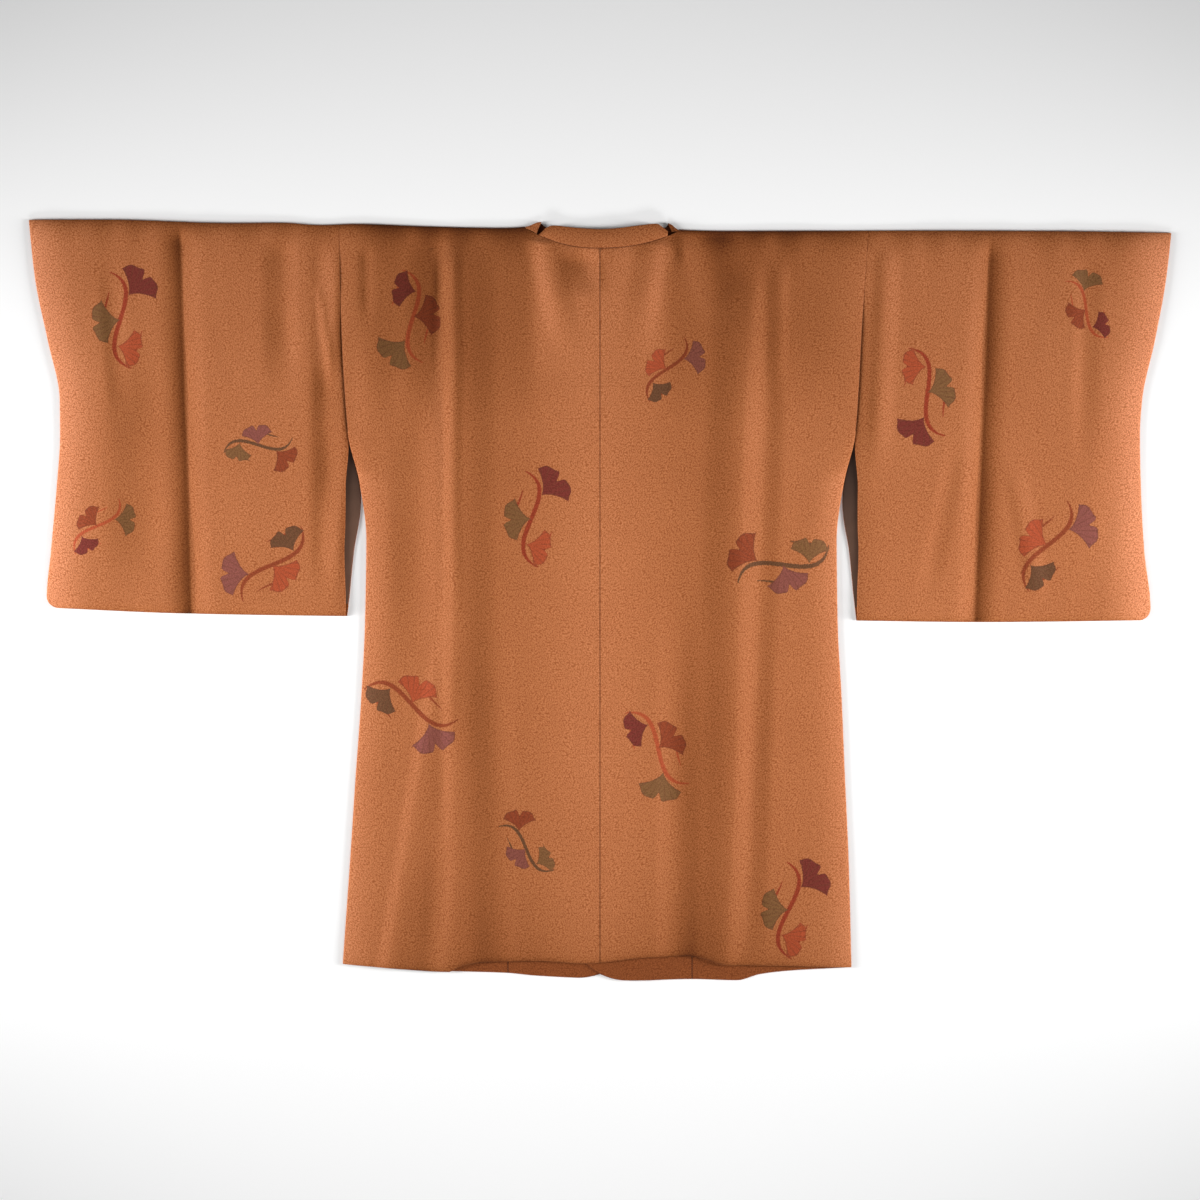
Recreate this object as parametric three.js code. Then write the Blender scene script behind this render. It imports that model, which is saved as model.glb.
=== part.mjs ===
// Kimono coat with a square neckline, laid out flat with its back upwards.
// Millimetres, +Z up. +X runs to the right as one looks down on the back, +Y from the hems to the
// shoulders. The origin is on the surface under the middle of the laid-out coat.
//
// Each half of the body is one length of cloth: it runs from the back hem up over the shoulder and
// down to the front hem, and is closed at the side below the armhole. Each sleeve is one length
// folded over the shoulder line, closed along its foot and below the cuff. Two bands widen the
// fronts and overlap in the middle, and a narrow collar frames the neckline.
import * as THREE from "three";

// Driving sizes
const WALL = 1.2; // crepe and lining together
const COLLAR_WALL = 1.5; // the collar is doubled crepe
const LINING_WALL = 1.0;
const SEAM = 0.3; // space between two sewn pieces, and between two layers
const LAYER = WALL + SEAM;
const LOFT = 2.2; // how far the upper layer bulges above its lowest height
const LOWEST_TOP = WALL + LAYER + 0.1; // lowest upper face of a layer lying on one other
const MOST_GAP = 3.8; // widest space between two layers
const BAND_WIDTH = 152;
const BAND_SEAM_X = 110;
const BAND_FREE_X = BAND_SEAM_X - BAND_WIDTH; // past the middle, so the bands overlap
const BAND_CORNER = 70;
const BAND_STEP = { low: 46, high: 76 }; // where the upper band climbs onto the lower one
const NECK = { footY: 233, backY: 399.6, power: 2.3, loft: 1.4 };
const COLLAR_WIDTH = 22;
const ARMHOLE_Y = 188; // lower end of the seam between sleeve and body
const SIDE_SEAM_Y = 130; // upper end of the body's side seam
const SLEEVE_CORNER = 14;
const FOLD_STEPS = 4; // steps round each shoulder fold
const EDGE_ROWS = 62; // rows nearer than this to a curved edge follow it

// Outlines, read from the left (x below 0) to the right
const SHOULDER_LINE = [
  { x: -650, y: 432.4 }, { x: -560, y: 432.6 }, { x: -420, y: 428.6 }, { x: -361, y: 429 },
  { x: -318, y: 426.4 }, { x: -279, y: 427.6 }, { x: -200, y: 425 }, { x: -113, y: 423 },
  { x: -85, y: 424.4 }, { x: -67, y: 430 }, { x: 77, y: 428.6 }, { x: 90, y: 421 },
  { x: 150, y: 419.6 }, { x: 354, y: 420 }, { x: 507, y: 419.6 }, { x: 650, y: 417.6 },
];
const BACK_HEM = [
  { x: -293, y: -413.7 }, { x: -230, y: -419 }, { x: -172, y: -422.6 }, { x: -158, y: -416 },
  { x: -130, y: -411.8 }, { x: -70, y: -410.2 }, { x: -18, y: -413 }, { x: 50, y: -406.5 },
  { x: 99, y: -404.6 }, { x: 121, y: -408.5 }, { x: 142, y: -415 }, { x: 192, y: -415.5 },
  { x: 286, y: -417.5 },
];
const FRONT_HEM = [
  { x: -293, y: -413.7 }, { x: -230, y: -417.5 }, { x: -165, y: -422 }, { x: -106, y: -424 },
  { x: -75, y: -427 }, { x: -20, y: -430 }, { x: 40, y: -432.6 }, { x: 105, y: -431 },
  { x: 156, y: -432.4 }, { x: 182, y: -425.5 }, { x: 215, y: -421.5 }, { x: 286, y: -417.5 },
];
const BODY_SIDE = [
  { y: -420, left: -293, right: 286 }, { y: -295, left: -284, right: 282.6 },
  { y: -204, left: -278, right: 278.5 }, { y: -113, left: -271.5, right: 274.7 },
  { y: -22, left: -267, right: 270 }, { y: 69, left: -265.6, right: 269 },
  { y: 132, left: -273, right: 277 }, { y: 188, left: -286, right: 290 },
  { y: 315, left: -294, right: 298 }, { y: 430, left: -296.5, right: 305.5 },
];
const CUFF_EDGE = [
  { y: -30, left: -629, right: 626.5 }, { y: 0, left: -629, right: 625.4 },
  { y: 57, left: -624, right: 618.6 }, { y: 132, left: -617.4, right: 614.8 },
  { y: 188, left: -613.8, right: 613.8 }, { y: 228, left: -614.2, right: 616.4 },
  { y: 296, left: -628, right: 631 }, { y: 364, left: -642, right: 643.4 },
  { y: 434, left: -650, right: 651.2 },
];
// How far the two layers of a sleeve stand away from the body's side below the armhole
const SLEEVE_OPENING = [
  { y: -30, back: 22, front: 22 }, { y: 0, back: 22.5, front: 19 }, { y: 57, back: 24.8, front: 14 },
  { y: 130, back: 16.4, front: 0.2 }, { y: 188, back: 0, front: 0 }, { y: 440, back: 0, front: 0 },
];
const SLEEVE_FOOT = [
  { x: -640, y: -8 }, { x: -469, y: -15.3 }, { x: -289, y: -18.2 },
  { x: 289, y: -23.3 }, { x: 431, y: -25 }, { x: 640, y: -22.7 },
];
// Distances from the middle to the neck point and to the collar's peak, the lower end of the cuff
// opening, and where the pressed crease lies across the sleeve
const SIDE_SIZES = {
  left: { neckHalf: 85, collarPeak: 67, cuffY: 222, creaseShare: 0.52 },
  right: { neckHalf: 90, collarPeak: 77.6, cuffY: 210, creaseShare: 0.425 },
};

// The largest folds of the upper layers. Each runs from its top to its foot, stands or dips by
// `height`, and reaches `left` and `right` of its line. `sharp` folds are pressed creases. `rise`
// and `fall` are the shares of the length over which a fold begins and ends.
const BODY_FOLDS = [
  { name: "left ridge", topX: -163, topY: 416, footX: -167, footY: -430, height: 1.5, left: 32, right: 66, rise: 0.05, fall: 0.01 },
  { name: "left shoulder dip", topX: -188, topY: 416, footX: -190, footY: 150, height: -1.5, left: 34, right: 16, rise: 0.1, fall: 0.6 },
  { name: "left hem dip", topX: -186, topY: -150, footX: -209, footY: -430, height: -1.5, left: 24, right: 34, rise: 0.5, fall: 0.01 },
  { name: "right ridge", topX: 172, topY: 380, footX: 137, footY: -430, height: 1.5, left: 66, right: 34, rise: 0.2, fall: 0.01 },
  { name: "right hem dip", topX: 100, topY: -120, footX: 97, footY: -430, height: -0.7, left: 26, right: 26, rise: 0.6, fall: 0.01 },
  { name: "left neck gather", topX: -68, topY: 412, footX: -42, footY: 290, height: 0.9, left: 16, right: 22, rise: 0.05, fall: 0.7 },
  { name: "right neck gather", topX: 60, topY: 410, footX: 36, footY: 280, height: 0.8, left: 22, right: 18, rise: 0.05, fall: 0.7 },
  { name: "hollow under the collar", topX: -24, topY: 399, footX: -10, footY: 330, height: -0.6, left: 26, right: 30, rise: 0.3, fall: 0.6 },
];
const SLEEVE_FOLDS = [
  { name: "left middle crease", topX: -475.6, topY: 428, footX: -467, footY: -20, height: -2.2, left: 28, right: 38, sharp: true, rise: 0.1, fall: 0.02 },
  { name: "left seam ridge", topX: -309, topY: 416, footX: -304, footY: -10, height: 0.9, left: 15, right: 12, rise: 0.1, fall: 0.2 },
  { name: "left cuff crease", topX: -560, topY: 400, footX: -545, footY: 190, height: -0.7, left: 14, right: 20, rise: 0.3, fall: 0.4 },
  { name: "left upper dip", topX: -378, topY: 416, footX: -366, footY: 210, height: -0.6, left: 16, right: 22, rise: 0.2, fall: 0.5 },
  { name: "right middle crease", topX: 448, topY: 416, footX: 431, footY: -26, height: -2.2, left: 34, right: 34, sharp: true, rise: 0.15, fall: 0.02 },
  { name: "right seam ridge", topX: 326, topY: 410, footX: 312, footY: 120, height: 1.1, left: 14, right: 20, rise: 0.1, fall: 0.4 },
  { name: "right cuff crease", topX: 566, topY: 410, footX: 556, footY: 190, height: -1.1, left: 14, right: 22, rise: 0.2, fall: 0.4 },
];

// How a layer comes down to its edge: over `reach`, to `rest` of its bulge
const ROUND = {
  shoulder: { reach: 24, rest: 0.3 },
  hem: { reach: 8, rest: 0.75 },
  sleeveFoot: { reach: 12, rest: 0.15 },
  armholeSeam: { reach: 10, rest: 0.65 },
  sideSeam: { reach: 28, rest: 0 },
  cuff: { reach: 36, rest: 0.05 },
};

const CREPE = new THREE.MeshStandardMaterial({ color: 0xbb7146, roughness: 0.85, metalness: 0 });
const FACING = new THREE.MeshStandardMaterial({ color: 0xa5623c, roughness: 0.85, metalness: 0 });
const LINING = new THREE.MeshStandardMaterial({ color: 0x7a5a48, roughness: 0.6, metalness: 0 });

const mix = (a, b, t) => a + (b - a) * t;
const clamp = (v, low, high) => Math.min(high, Math.max(low, v));
const smooth = (t) => clamp(t, 0, 1) ** 2 * (3 - 2 * clamp(t, 0, 1));

/** A curve through a table: gives column `to` for a value of column `from`, with no overshoot. */
function curve(rows, from, to) {
  const at = rows.map((row) => row[from]);
  const value = rows.map((row) => row[to]);
  const last = at.length - 1;
  const rate = at.slice(1).map((v, k) => (value[k + 1] - value[k]) / (v - at[k]));
  const slope = at.map((_, k) => {
    if (k === 0 || k === last) return rate[k === 0 ? 0 : last - 1];
    const [before, after] = [rate[k - 1], rate[k]];
    return before * after <= 0 ? 0 : (2 * before * after) / (before + after);
  });
  return (v) => {
    const inside = clamp(v, at[0], at[last]);
    const k = Math.min(last - 1, Math.max(0, at.findIndex((a) => a > inside) - 1));
    const step = at[k + 1] - at[k];
    const t = inside >= at[last] ? 1 : (inside - at[k]) / step;
    const k1 = inside >= at[last] ? last - 1 : k;
    const width = at[k1 + 1] - at[k1];
    return (
      value[k1] * (1 + 2 * t) * (1 - t) ** 2 +
      value[k1 + 1] * t * t * (3 - 2 * t) +
      width * t * (1 - t) * (slope[k1] * (1 - t) - slope[k1 + 1] * t)
    );
  };
}

const shoulderY = curve(SHOULDER_LINE, "x", "y");
const backHemY = curve(BACK_HEM, "x", "y");
const frontHemY = curve(FRONT_HEM, "x", "y");
const sleeveFootY = curve(SLEEVE_FOOT, "x", "y");
const backOpening = curve(SLEEVE_OPENING, "y", "back");
const frontOpening = curve(SLEEVE_OPENING, "y", "front");

/** The outlines and sizes of one side, with x given as a distance from the middle. */
function sideOutlines(side) {
  const name = side < 0 ? "left" : "right";
  const distance = (rows) => {
    const x = curve(rows, "y", name);
    return (y) => Math.abs(x(y));
  };
  const bodySide = distance(BODY_SIDE);
  const { neckHalf } = SIDE_SIZES[name];
  return {
    ...SIDE_SIZES[name],
    bodySide,
    neckTop: shoulderY(side * neckHalf) - 1.5 * WALL, // where the fold over the shoulder begins
    cuff: distance(CUFF_EDGE),
    sleeveBack: (y) => bodySide(y) + SEAM + backOpening(y),
    sleeveFront: (y) => bodySide(y) + SEAM + frontOpening(y),
  };
}
const SIDES = { "-1": sideOutlines(-1), 1: sideOutlines(1) };

/** Height of all the folds at a point. */
function foldHeight(folds, x, y) {
  let sum = 0;
  for (const fold of folds) {
    const along = (fold.topY - y) / (fold.topY - fold.footY);
    if (along <= 0 || along >= 1) continue;
    const line = mix(fold.topX, fold.footX, along);
    const across = Math.abs(x - line) / (x < line ? fold.left : fold.right);
    if (across >= 1) continue;
    const section = fold.sharp ? (1 - across) ** 1.5 : (1 - across ** 2) ** 2;
    const ends = smooth(along / fold.rise) * smooth((1 - along) / fold.fall);
    sum += fold.height * section * ends;
  }
  return sum;
}

/** Share of the bulge that is left at a distance from an edge, as a quarter of an ellipse. */
function rounded(distance, { reach, rest }) {
  const inward = 1 - clamp(distance / reach, 0, 1);
  return mix(rest, 1, Math.sqrt(1 - inward * inward));
}

/** Share of the back's shape that is over the open neckline, where it sinks in. */
function overNeckline(side, x, y) {
  return smooth((y - NECK.footY) / 30) * smooth((frontEdge(side, y) - Math.abs(x)) / 24);
}

/** Upper face of the layers that lie under the middle of the back. */
function bandStackTop(x, y) {
  if (y > NECK.footY + COLLAR_WIDTH + 10) return WALL;
  return WALL + LAYER * smooth((BAND_STEP.high + 12 - Math.abs(x)) / 30);
}

/** Upper face of the back of the body. */
function bodyTop(side, x, y) {
  const { bodySide } = SIDES[side];
  const free = smooth((ARMHOLE_Y + 10 - y) / (ARMHOLE_Y - SIDE_SEAM_Y));
  const edge = {
    reach: mix(ROUND.armholeSeam.reach, ROUND.sideSeam.reach, free),
    rest: mix(ROUND.armholeSeam.rest, ROUND.sideSeam.rest, free),
  };
  const share =
    rounded(shoulderY(x) - y, ROUND.shoulder) *
    rounded(bodySide(y) - Math.abs(x), edge) *
    rounded(y - backHemY(x), ROUND.hem);
  const neckline = overNeckline(side, x, y);
  const loft = mix(LOFT, NECK.loft, neckline);
  const most = MOST_GAP + WALL * (2 - neckline) - LOWEST_TOP;
  const bulge = clamp(loft + foldHeight(BODY_FOLDS, x, y), 0, most);
  return Math.max(LOWEST_TOP + bulge * share, bandStackTop(x, y) + LAYER + 0.1);
}

/** Upper face of the back of a sleeve. */
function sleeveTop(side, x, y) {
  const { cuff, sleeveBack } = SIDES[side];
  const share =
    rounded(shoulderY(x) - y, ROUND.shoulder) *
    rounded(cuff(y) - Math.abs(x), ROUND.cuff) *
    rounded(Math.abs(x) - sleeveBack(y), ROUND.armholeSeam) *
    rounded(y - sleeveFootY(x), ROUND.sleeveFoot);
  const bulge = clamp(LOFT + foldHeight(SLEEVE_FOLDS, x, y), 0, MOST_GAP + WALL * 2 - LOWEST_TOP);
  return LOWEST_TOP + bulge * share;
}

/** Positions from 0 to 1: each row of the table ends a stretch and says its number of steps. */
function stations(stretches) {
  const found = [0];
  for (const { to, steps } of stretches) {
    const from = found[found.length - 1];
    for (let k = 1; k <= steps; k++) found.push(mix(from, to, k / steps));
  }
  return found;
}

/** A closed geometry from points and quads. The faces are turned to point outwards. */
function closedGeometry(points, quads) {
  const triangles = quads.flatMap(([a, b, c, d]) => [[a, b, c], [a, c, d]]);
  let volume = 0;
  for (const [a, b, c] of triangles) {
    volume += points[a].dot(new THREE.Vector3().crossVectors(points[b], points[c]));
  }
  const index = triangles.flatMap(([a, b, c]) => (volume < 0 ? [a, c, b] : [a, b, c]));
  const geometry = new THREE.BufferGeometry().setFromPoints(points);
  geometry.setIndex(index);
  geometry.computeVertexNormals();
  return geometry;
}

/**
 * A cloth wall from a grid: faces[row][column] holds the wall's `outer` and `inner` points. The
 * first and last rows may be sewn together (`closedFoot`), and so may the last column up to a
 * row, with the mirrored rows at the other end (`closedRows`). Every other edge is left open, as
 * a rim one wall thick.
 */
function wallGeometry(faces, { closedFoot = false, closedRows = 0 } = {}) {
  const [rows, columns] = [faces.length, faces[0].length];
  const points = [...faces.flat().map((f) => f.outer), ...faces.flat().map((f) => f.inner)];
  const outer = (row, column) => row * columns + column;
  const inner = (row, column) => rows * columns + outer(row, column);
  const end = columns - 1;
  const foot = rows - 1;
  const quads = [];
  for (let row = 0; row < foot; row++) {
    for (let column = 0; column < end; column++) {
      const [r, c] = [row + 1, column + 1];
      quads.push([outer(row, column), outer(row, c), outer(r, c), outer(r, column)]);
      quads.push([inner(row, column), inner(r, column), inner(r, c), inner(row, c)]);
    }
    quads.push([outer(row, 0), outer(row + 1, 0), inner(row + 1, 0), inner(row, 0)]);
    const sewn = row < closedRows || row >= foot - closedRows;
    if (!sewn) quads.push([outer(row, end), inner(row, end), inner(row + 1, end), outer(row + 1, end)]);
  }
  for (let row = 0; row < closedRows; row++) {
    const [near, far] = [foot - row, foot - row - 1];
    quads.push([outer(row, end), outer(near, end), outer(far, end), outer(row + 1, end)]);
    quads.push([inner(row, end), inner(row + 1, end), inner(far, end), inner(near, end)]);
  }
  const cap = (row, column, turned) => {
    const loop = [outer(row, column), inner(row, column), inner(foot - row, column), outer(foot - row, column)];
    quads.push(turned ? loop.reverse() : loop);
  };
  if (closedRows > 0) cap(closedRows, end, true);
  for (let column = 0; column < end; column++) {
    const c = column + 1;
    if (closedFoot) {
      quads.push([outer(0, column), outer(foot, column), outer(foot, c), outer(0, c)]);
      quads.push([inner(0, column), inner(0, c), inner(foot, c), inner(foot, column)]);
    } else {
      quads.push([outer(0, column), inner(0, column), inner(0, c), outer(0, c)]);
      quads.push([outer(foot, column), outer(foot, c), inner(foot, c), inner(foot, column)]);
    }
  }
  if (closedFoot) cap(0, 0, false);
  else if (closedRows > 0) cap(0, end, false);
  return closedGeometry(points, quads);
}

/**
 * A length of cloth folded over the shoulder line: back rows from the foot up, the fold, and
 * front rows down again. `rowsY` are the rows' nominal heights; the rows near the foot and the
 * fold follow the curved edges. `x(layer, y, across)` gives the distance from the middle,
 * `foot(layer, x)` the lower edge, `ridge(x)` the shoulder line and `top(x, y)` the upper face.
 */
function foldedCloth({ side, across, rowsY, frontRowsY = rowsY, wall, x, foot, ridge, top, insetFoot, insetRows }) {
  const last = rowsY.length - 1;
  const topY = rowsY[last];
  const place = (layer, nominalY, share) => {
    const footY = layer === "back" ? rowsY[0] : frontRowsY[0];
    const px = side * x(layer, nominalY, share);
    const lift = (top(px, ridge(px) - wall) - wall) / 2; // radius of the fold's middle
    const foldY = ridge(px) - wall / 2 - lift;
    const low = clamp((footY + EDGE_ROWS - nominalY) / EDGE_ROWS, 0, 1);
    const high = clamp((nominalY - topY + EDGE_ROWS) / EDGE_ROWS, 0, 1);
    const py = nominalY + (foot(layer, px) - footY) * low + (foldY - topY) * high;
    return { px, py, foldY, lift };
  };
  const inset = (row, column) => ({
    x: row < insetRows && column === across.length - 1 ? -side * wall : 0,
    y: insetFoot && row === 0 ? wall : 0,
  });
  const layerRow = (layer, row) =>
    across.map((share, column) => {
      const { px, py } = place(layer, (layer === "back" ? rowsY : frontRowsY)[row], share);
      const face = layer === "back" ? top(px, py) : 0;
      const toInner = layer === "back" ? -wall : wall;
      const moved = inset(row, column);
      return {
        outer: new THREE.Vector3(px, py, face),
        inner: new THREE.Vector3(px + moved.x, py + moved.y, face + toInner),
      };
    });
  const foldRow = (turn) =>
    across.map((share) => {
      const { px, foldY, lift } = place("back", topY, share);
      const at = (radius) =>
        new THREE.Vector3(px, foldY + radius * Math.sin(turn), wall / 2 + lift + radius * Math.cos(turn));
      return { outer: at(lift + wall / 2), inner: at(lift - wall / 2) };
    });
  const faces = rowsY.slice(0, last).map((_, row) => layerRow("back", row));
  for (let k = 0; k <= FOLD_STEPS; k++) faces.push(foldRow((Math.PI * k) / FOLD_STEPS));
  for (let row = frontRowsY.length - 2; row >= 0; row--) faces.push(layerRow("front", row));
  return faces;
}

/** Distance from the middle of the back's neck edge, for a height above the neckline's lowest point. */
function neckEdge(side, y) {
  const { neckHalf, neckTop } = SIDES[side];
  return neckHalf * clamp((y - NECK.backY) / (neckTop - NECK.backY), 0, 1) ** (1 / NECK.power);
}

/** Distance from the middle of the front's inner edge: the neckline, then the seam of the band. */
function frontEdge(side, y) {
  const { neckHalf, neckTop } = SIDES[side];
  return mix(BAND_SEAM_X, neckHalf, clamp((y - NECK.footY) / (neckTop - NECK.footY), 0, 1));
}

// Steps across a body panel, from the middle to the side, closer on the ridge and at the edge
const BODY_ACROSS = stations([
  { to: 0.36, steps: 4 }, { to: 0.7, steps: 8 }, { to: 0.88, steps: 3 }, { to: 1, steps: 4 },
]);
// Heights of the rows that a body panel and a sleeve share along their seam
const ARMHOLE_ROWS_Y = [SIDE_SEAM_Y, ARMHOLE_Y, NECK.footY, 280, 320, 360];
const BODY_ROWS_Y = [-412, -404, -378, -330, -260, -190, -110, -30, 50];
const NECK_ROWS = [0, 0.04, 0.15, 0.38, 0.68, 1];

/** One half of the body: back and front in one length of cloth. */
function bodyPanel(side) {
  const { bodySide, neckHalf, neckTop } = SIDES[side];
  const rowsY = [...BODY_ROWS_Y, ...ARMHOLE_ROWS_Y, ...NECK_ROWS.map((t) => mix(NECK.backY, neckTop, t))];
  const sewnRows = rowsY.indexOf(SIDE_SEAM_Y);
  const x = (layer, y, share) => {
    const inner = layer === "back" ? Math.max(SEAM / 2, neckEdge(side, y)) : frontEdge(side, y);
    return mix(inner, bodySide(y), share);
  };
  const faces = foldedCloth({
    side, rowsY, x,
    across: BODY_ACROSS,
    wall: WALL,
    foot: (layer, px) => (layer === "back" ? backHemY(px) : frontHemY(px)),
    ridge: (px) => shoulderY(side * Math.max(Math.abs(px), neckHalf)),
    top: (px, py) => bodyTop(side, px, py),
    insetRows: sewnRows + 1,
  });
  return wallGeometry(faces, { closedRows: sewnRows });
}

/** One sleeve: a tube with an open cuff at its outer end and an open inner edge. */
function sleeve(side) {
  const { cuff, sleeveBack, sleeveFront, cuffY, creaseShare } = SIDES[side];
  const footY = sleeveFootY(side * 450);
  const topY = shoulderY(side * 450) - WALL * 2;
  const footRows = [footY, footY + 2, footY + 6, footY + SLEEVE_CORNER, 50];
  const rowsY = [...footRows, ...ARMHOLE_ROWS_Y, cuffY, 393, 410, topY].sort((a, b) => a - b);
  const sewnRows = rowsY.indexOf(cuffY);
  const corner = (height) => {
    const below = clamp(SLEEVE_CORNER - height, 0, SLEEVE_CORNER);
    return SLEEVE_CORNER - Math.sqrt(SLEEVE_CORNER ** 2 - below ** 2);
  };
  const x = (layer, y, share) => {
    const inner = layer === "back" ? sleeveBack(y) : sleeveFront(y);
    return mix(inner, cuff(y) - corner(y - footY), share);
  };
  const across = stations([
    { to: creaseShare - 0.11, steps: 5 }, { to: creaseShare, steps: 3 },
    { to: creaseShare + 0.11, steps: 3 }, { to: 0.9, steps: 4 }, { to: 1, steps: 3 },
  ]);
  const faces = foldedCloth({
    side, rowsY, across, x,
    wall: WALL,
    foot: (_, px) => sleeveFootY(px),
    ridge: shoulderY,
    top: (px, py) => sleeveTop(side, px, py),
    insetFoot: true,
    insetRows: sewnRows + 1,
  });
  return wallGeometry(faces, { closedFoot: true, closedRows: sewnRows });
}

/** A wall over a grid of plan points, with its lower face at the height that `under` gives. */
function laidWall(grid, wall, under) {
  const faces = grid.map((row) =>
    row.map(({ x, y }) => ({
      outer: new THREE.Vector3(x, y, under(x, y) + wall),
      inner: new THREE.Vector3(x, y, under(x, y)),
    })),
  );
  return wallGeometry(faces);
}

/** Lower face of the right-hand pieces, which climb onto the left-hand ones in the middle. */
const climb = (side, wall) => (x) =>
  side < 0 ? 0 : (wall + SEAM) * smooth((BAND_STEP.high - x) / (BAND_STEP.high - BAND_STEP.low));

/** The band that widens a front, with its rounded lower corner. */
function frontBand(side) {
  const seamX = BAND_SEAM_X - SEAM;
  const headY = NECK.footY;
  const hemX = side * (seamX - 10);
  const cornerRows = [0, 0.25, 0.5, 0.75, 1].map((t) => {
    const turn = (t * Math.PI) / 2;
    return { rise: BAND_CORNER * (1 - Math.cos(turn)), cut: BAND_CORNER * (1 - Math.sin(turn)) };
  });
  const straightRows = [0.12, 0.24, 0.36, 0.48, 0.6, 0.72, 0.84, 1].map((t) => ({
    rise: mix(BAND_CORNER, headY - frontHemY(hemX), t), cut: 0,
  }));
  const across = stations([{ to: 0.2, steps: 2 }, { to: 0.44, steps: 4 }, { to: 1, steps: 4 }]);
  const grid = [...cornerRows, ...straightRows].map(({ rise, cut }) =>
    across.map((t) => {
      const x = side * mix(seamX, BAND_FREE_X + cut, t);
      const hem = frontHemY(clamp(x, side < 0 ? -BAND_SEAM_X : -20, side < 0 ? -20 : BAND_SEAM_X));
      return { x, y: mix(hem, headY, rise / (headY - frontHemY(hemX))) };
    }),
  );
  return laidWall(grid, WALL, climb(side, WALL));
}

/** The collar along the lower edge of the square neckline, on top of one band. */
function collarFoot(side) {
  const across = stations([{ to: 0.18, steps: 2 }, { to: 0.46, steps: 4 }, { to: 1, steps: 3 }]);
  const grid = [0, 1].map((t) => {
    const y = mix(NECK.footY + SEAM, NECK.footY + COLLAR_WIDTH, t);
    const seamX = frontEdge(side, NECK.footY) - SEAM - t * COLLAR_WIDTH;
    return across.map((a) => ({ x: side * mix(seamX, BAND_FREE_X, a), y }));
  });
  return laidWall(grid, COLLAR_WALL, climb(side, COLLAR_WALL));
}

/** The collar down one side of the neckline: it passes over the shoulder and ends on the back. */
function collarSide(side) {
  const { neckHalf, neckTop, collarPeak } = SIDES[side];
  const backFootY = 415;
  const frontFootY = NECK.footY + COLLAR_WIDTH + SEAM;
  const x = (layer, y, share) => {
    const onBack = layer === "back";
    const seam = (onBack ? neckEdge(side, y) : frontEdge(side, y)) - SEAM * 2;
    const narrowest = onBack ? 3 : COLLAR_WIDTH;
    const near = onBack ? clamp((y - backFootY) / (neckTop - backFootY), 0, 1) : smooth((y - 380) / 40);
    return mix(seam - mix(narrowest, neckHalf - collarPeak, near), seam, share);
  };
  const faces = foldedCloth({
    side, x,
    rowsY: [backFootY, mix(backFootY, neckTop, 0.5), neckTop],
    frontRowsY: [frontFootY, 300, 345, 390, 408, neckTop],
    across: [0, 0.5, 1],
    wall: COLLAR_WALL,
    foot: (layer) => (layer === "back" ? backFootY : frontFootY),
    ridge: shoulderY,
    top: (_, py) => Math.max(bodyTop(side, side * neckHalf, py), COLLAR_WALL * 2 + 0.6),
  });
  return wallGeometry(faces);
}

/** The collar along the back of the neck, standing out beyond the neck seam. */
const COLLAR_BACK_TOP = [
  { x: -69, y: 416.5 }, { x: -61, y: 422.6 }, { x: -53.4, y: 425.4 }, { x: -26.6, y: 423.1 },
  { x: 2, y: 421.4 }, { x: 45.7, y: 425.7 }, { x: 64.6, y: 427.5 }, { x: 72, y: 422.8 },
  { x: 77, y: 418.6 },
];

function collarBack() {
  const topEdgeY = curve(COLLAR_BACK_TOP, "x", "y");
  const seamY = (x) => {
    const side = x < 0 ? -1 : 1;
    const { neckHalf } = SIDES[side];
    const depth = shoulderY(side * neckHalf) - WALL * 2 - NECK.backY;
    return NECK.backY + depth * (Math.abs(x) / neckHalf) ** NECK.power + SEAM * 1.5;
  };
  const across = stations([
    { to: 0.06, steps: 1 }, { to: 0.12, steps: 1 }, { to: 0.88, steps: 9 },
    { to: 0.94, steps: 1 }, { to: 1, steps: 1 },
  ]);
  const grid = [0, 0.5, 1].map((t) =>
    across.map((a) => {
      const x = mix(COLLAR_BACK_TOP[0].x, COLLAR_BACK_TOP[COLLAR_BACK_TOP.length - 1].x, a);
      return { x, y: mix(seamY(x), Math.max(topEdgeY(x), seamY(x) + 1), t) };
    }),
  );
  const under = (x) => bodyTop(x < 0 ? -1 : 1, x, seamY(x)) - COLLAR_WALL;
  return laidWall(grid, COLLAR_WALL, under);
}

/** The lining that shows inside a sleeve's open inner edge, on the front layer. */
function sleeveLining(side) {
  const { sleeveBack, sleeveFront } = SIDES[side];
  const footY = side < 0 ? -4 : -8;
  const tuck = 12; // how far it runs under the back layer
  const grid = stations([{ to: 0.3, steps: 2 }, { to: 1, steps: 5 }]).map((t) => {
    const y = mix(ARMHOLE_Y - 4, footY, t);
    return [0, 0.5, 1].map((a) => ({ x: side * mix(sleeveFront(y), sleeveBack(y) + tuck, a), y }));
  });
  return laidWall(grid, LINING_WALL, () => LAYER);
}

function piece(name, geometry, material) {
  const mesh = new THREE.Mesh(geometry, material);
  mesh.name = name;
  return mesh;
}

const coat = new THREE.Group();
for (const [side, word] of [[-1, "left"], [1, "right"]]) {
  coat.add(piece(`body_${word}`, bodyPanel(side), CREPE));
  coat.add(piece(`sleeve_${word}`, sleeve(side), CREPE));
  coat.add(piece(`sleeve_lining_${word}`, sleeveLining(side), LINING));
  coat.add(piece(`front_band_${word}`, frontBand(side), FACING));
  coat.add(piece(`collar_side_${word}`, collarSide(side), CREPE));
  coat.add(piece(`collar_foot_${word}`, collarFoot(side), CREPE));
}
coat.add(piece("collar_back", collarBack(), CREPE));

export default coat;
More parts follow.
